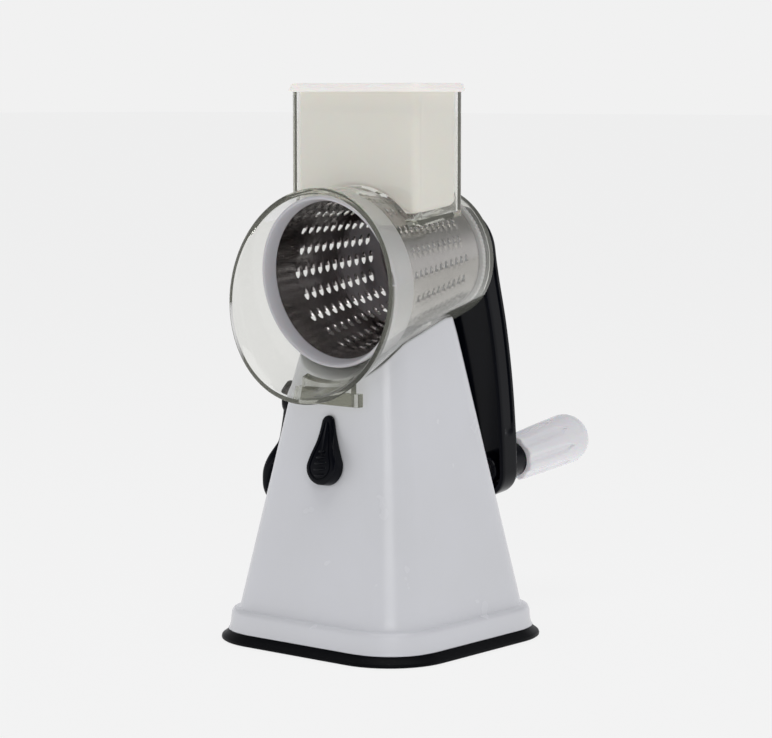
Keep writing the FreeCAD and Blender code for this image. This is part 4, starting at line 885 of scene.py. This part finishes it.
def lever_section(up, half, shrink=1.0):
    """A rounded cross-section of the lever at a height above its pivot."""
    outer_x, inner_x = follow(LEVER_OUTER, up), follow(LEVER_INNER, up)
    thick = (outer_x - inner_x) * shrink
    corner = min(thick, 2 * half) * 0.42
    centre = LEVER_HUB + Vector((-(outer_x + inner_x) / 2, 0, up))
    flat = rounded(thick / 2, half, corner, 0.0, 0.0, 5, 5)
    return [centre + spot for spot in flat]


lever = bmesh.new()
rings = [[LEVER_HUB + Vector((-17.9, 0, -53.1))]]
for step in range(45):
    up = -52.9 + 44.9 * step / 44
    rings.append(lever_section(up, follow(LEVER_HALF, up), 0.5 + 0.5 * min(1.0, (step + 1) / 6)))
for step in range(33):
    turn = math.radians(-68 + 158 * step / 32)
    up = HUB_RADIUS * math.sin(turn)
    half = max(HUB_RADIUS * math.cos(turn), 0.6)
    if up < -3.0:
        half = max(half, 5.2)
    rings.append(lever_section(up, half, 1.0 if step < 30 else 0.9))
rings.append([LEVER_HUB + Vector((-3.6, 0, HUB_RADIUS))])
skin(lever, rings)
piece("lever_paddle", lever, black_abs, "lever", ["suction_lever"])


# ---------------------------------------------------------------- carried-over hidden and small pieces
# Screws and axles in plain zinc-plated steel, sliding pieces in satin white acetal, and the
# shaft in the drum's lilac white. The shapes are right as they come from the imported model.

zinc, tree, output = new_material("Zinc_Plated_Steel")
zinc_tone = add(tree, "ShaderNodeMix", {"A": colour("b4b4b2"), "B": colour("c8c8c6")},
                {"Factor": mottle(tree, 400.0, 0.0, 1.0)}, data_type="RGBA")
zinc_shader = add(tree, "ShaderNodeBsdfPrincipled", {"Metallic": 1.0},
                  {"Base Color": zinc_tone.outputs["Result"], "Roughness": mottle(tree, 700.0, 0.25, 0.4)})
tree.links.new(zinc_shader.outputs["BSDF"], output.inputs["Surface"])
acetal = moulded("Satin_White_Acetal", "dcdcda", "e2e2e0", 0.45, ripple=0.05)

carried = {
    zinc: ["cup_washer", "cup_screw", "base_screws", "lever_axle", "cam_screw", "dog_screw", "crank_screw",
           "crank_washer", "grip_axle", "axle_screw"],
    acetal: ["lift_rod", "lift_cam", "lever_bush", "latch_dog", "shaft_bush"],
    white_abs: ["base_plate"],
    black_rubber: ["suction_cup"],
    drum_white: ["drive_shaft"],
}
for material, names in carried.items():
    for name in names:
        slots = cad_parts[name].data.materials
        slots.clear()
        slots.append(material)


# ---------------------------------------------------------------- floor, light and camera
# A plain pale floor that glows softly like a lit table, an even pale surround that is dimmer
# in front and overhead, and two large soft boxes.

floor_mesh = bpy.data.meshes.new("floor")
reach = 30.0
floor_mesh.from_pydata([(-reach, -reach, 0), (reach, -reach, 0), (reach, reach, 0), (-reach, reach, 0)], [],
                       [(0, 1, 2, 3)])
floor = bpy.data.objects.new("floor", floor_mesh)
floor.location.z = -0.0004
bpy.context.scene.collection.objects.link(floor)
paper, tree, output = new_material("Pale_Lit_Table")
paper_glow = add(tree, "ShaderNodeEmission", {"Color": colour("f1f1f1"), "Strength": 0.945})
paper_face = add(tree, "ShaderNodeBsdfDiffuse", {"Color": (0.1, 0.1, 0.1, 1.0)})
paper_sum = add(tree, "ShaderNodeAddShader", {}, {0: paper_glow.outputs[0], 1: paper_face.outputs[0]})
tree.links.new(paper_sum.outputs[0], output.inputs["Surface"])
floor_mesh.materials.append(paper)

world = bpy.data.worlds.new("Soft_Studio")
bpy.context.scene.world = world
world.use_nodes = True
tree = world.node_tree
tree.nodes.clear()
direction = add(tree, "ShaderNodeTexCoord")
front = add(tree, "ShaderNodeVectorMath", {1: (0.64, -0.768, 0.0)}, {0: direction.outputs["Generated"]},
            operation="DOT_PRODUCT")
limits = {"From Min": -0.5, "From Max": 0.8, "To Min": 0.95, "To Max": 0.38}
surround = add(tree, "ShaderNodeMapRange", limits, {"Value": front.outputs["Value"]},
               interpolation_type="SMOOTHSTEP")
height = add(tree, "ShaderNodeSeparateXYZ", {}, {"Vector": direction.outputs["Generated"]})
limits = {"From Min": 0.12, "From Max": 0.5, "To Min": 1.0, "To Max": 0.3}
overhead = add(tree, "ShaderNodeMapRange", limits, {"Value": height.outputs["Z"]},
               interpolation_type="SMOOTHSTEP")
strength = add(tree, "ShaderNodeMath", {}, {0: surround.outputs["Result"], 1: overhead.outputs["Result"]},
               operation="MULTIPLY")
soft = add(tree, "ShaderNodeBackground", {"Color": colour("fbfbff")}, {"Strength": strength.outputs[0]})
backdrop = add(tree, "ShaderNodeBackground", {"Color": colour("f1f1f1"), "Strength": 1.0})
seen = add(tree, "ShaderNodeLightPath")
choose = add(tree, "ShaderNodeMixShader", {}, {0: seen.outputs["Is Camera Ray"], 1: soft.outputs[0],
                                               2: backdrop.outputs[0]})
add(tree, "ShaderNodeOutputWorld", {}, {"Surface": choose.outputs[0]})


def soft_box(name, place, target, size, power):
    """A large square soft light aimed at a point."""
    data = bpy.data.lights.new(name, "AREA")
    data.shape = "SQUARE"
    data.size = size
    data.energy = power
    light = bpy.data.objects.new(name, data)
    light.location = place
    light.rotation_euler = (Vector(target) - Vector(place)).to_track_quat("-Z", "Y").to_euler()
    bpy.context.scene.collection.objects.link(light)


soft_box("Top_Box", (0.2, -0.2, 1.9), (0, 0, 0.1), 1.4, 13.0)
soft_box("Key_Box", (1.35, -1.5, 1.0), (0, 0, 0.12), 0.9, 7.0)

lens_data = bpy.data.cameras.new("Camera")
lens_data.sensor_width = 36.0
lens_data.lens = 122.1
camera = bpy.data.objects.new("Camera", lens_data)
camera.location = (0.829, -0.9911, 0.269)
camera.rotation_euler = (math.radians(90 - 5.97), 0.0, math.radians(39.8))
bpy.context.scene.collection.objects.link(camera)
bpy.context.scene.camera = camera
bpy.context.scene.view_settings.view_transform = "Standard"
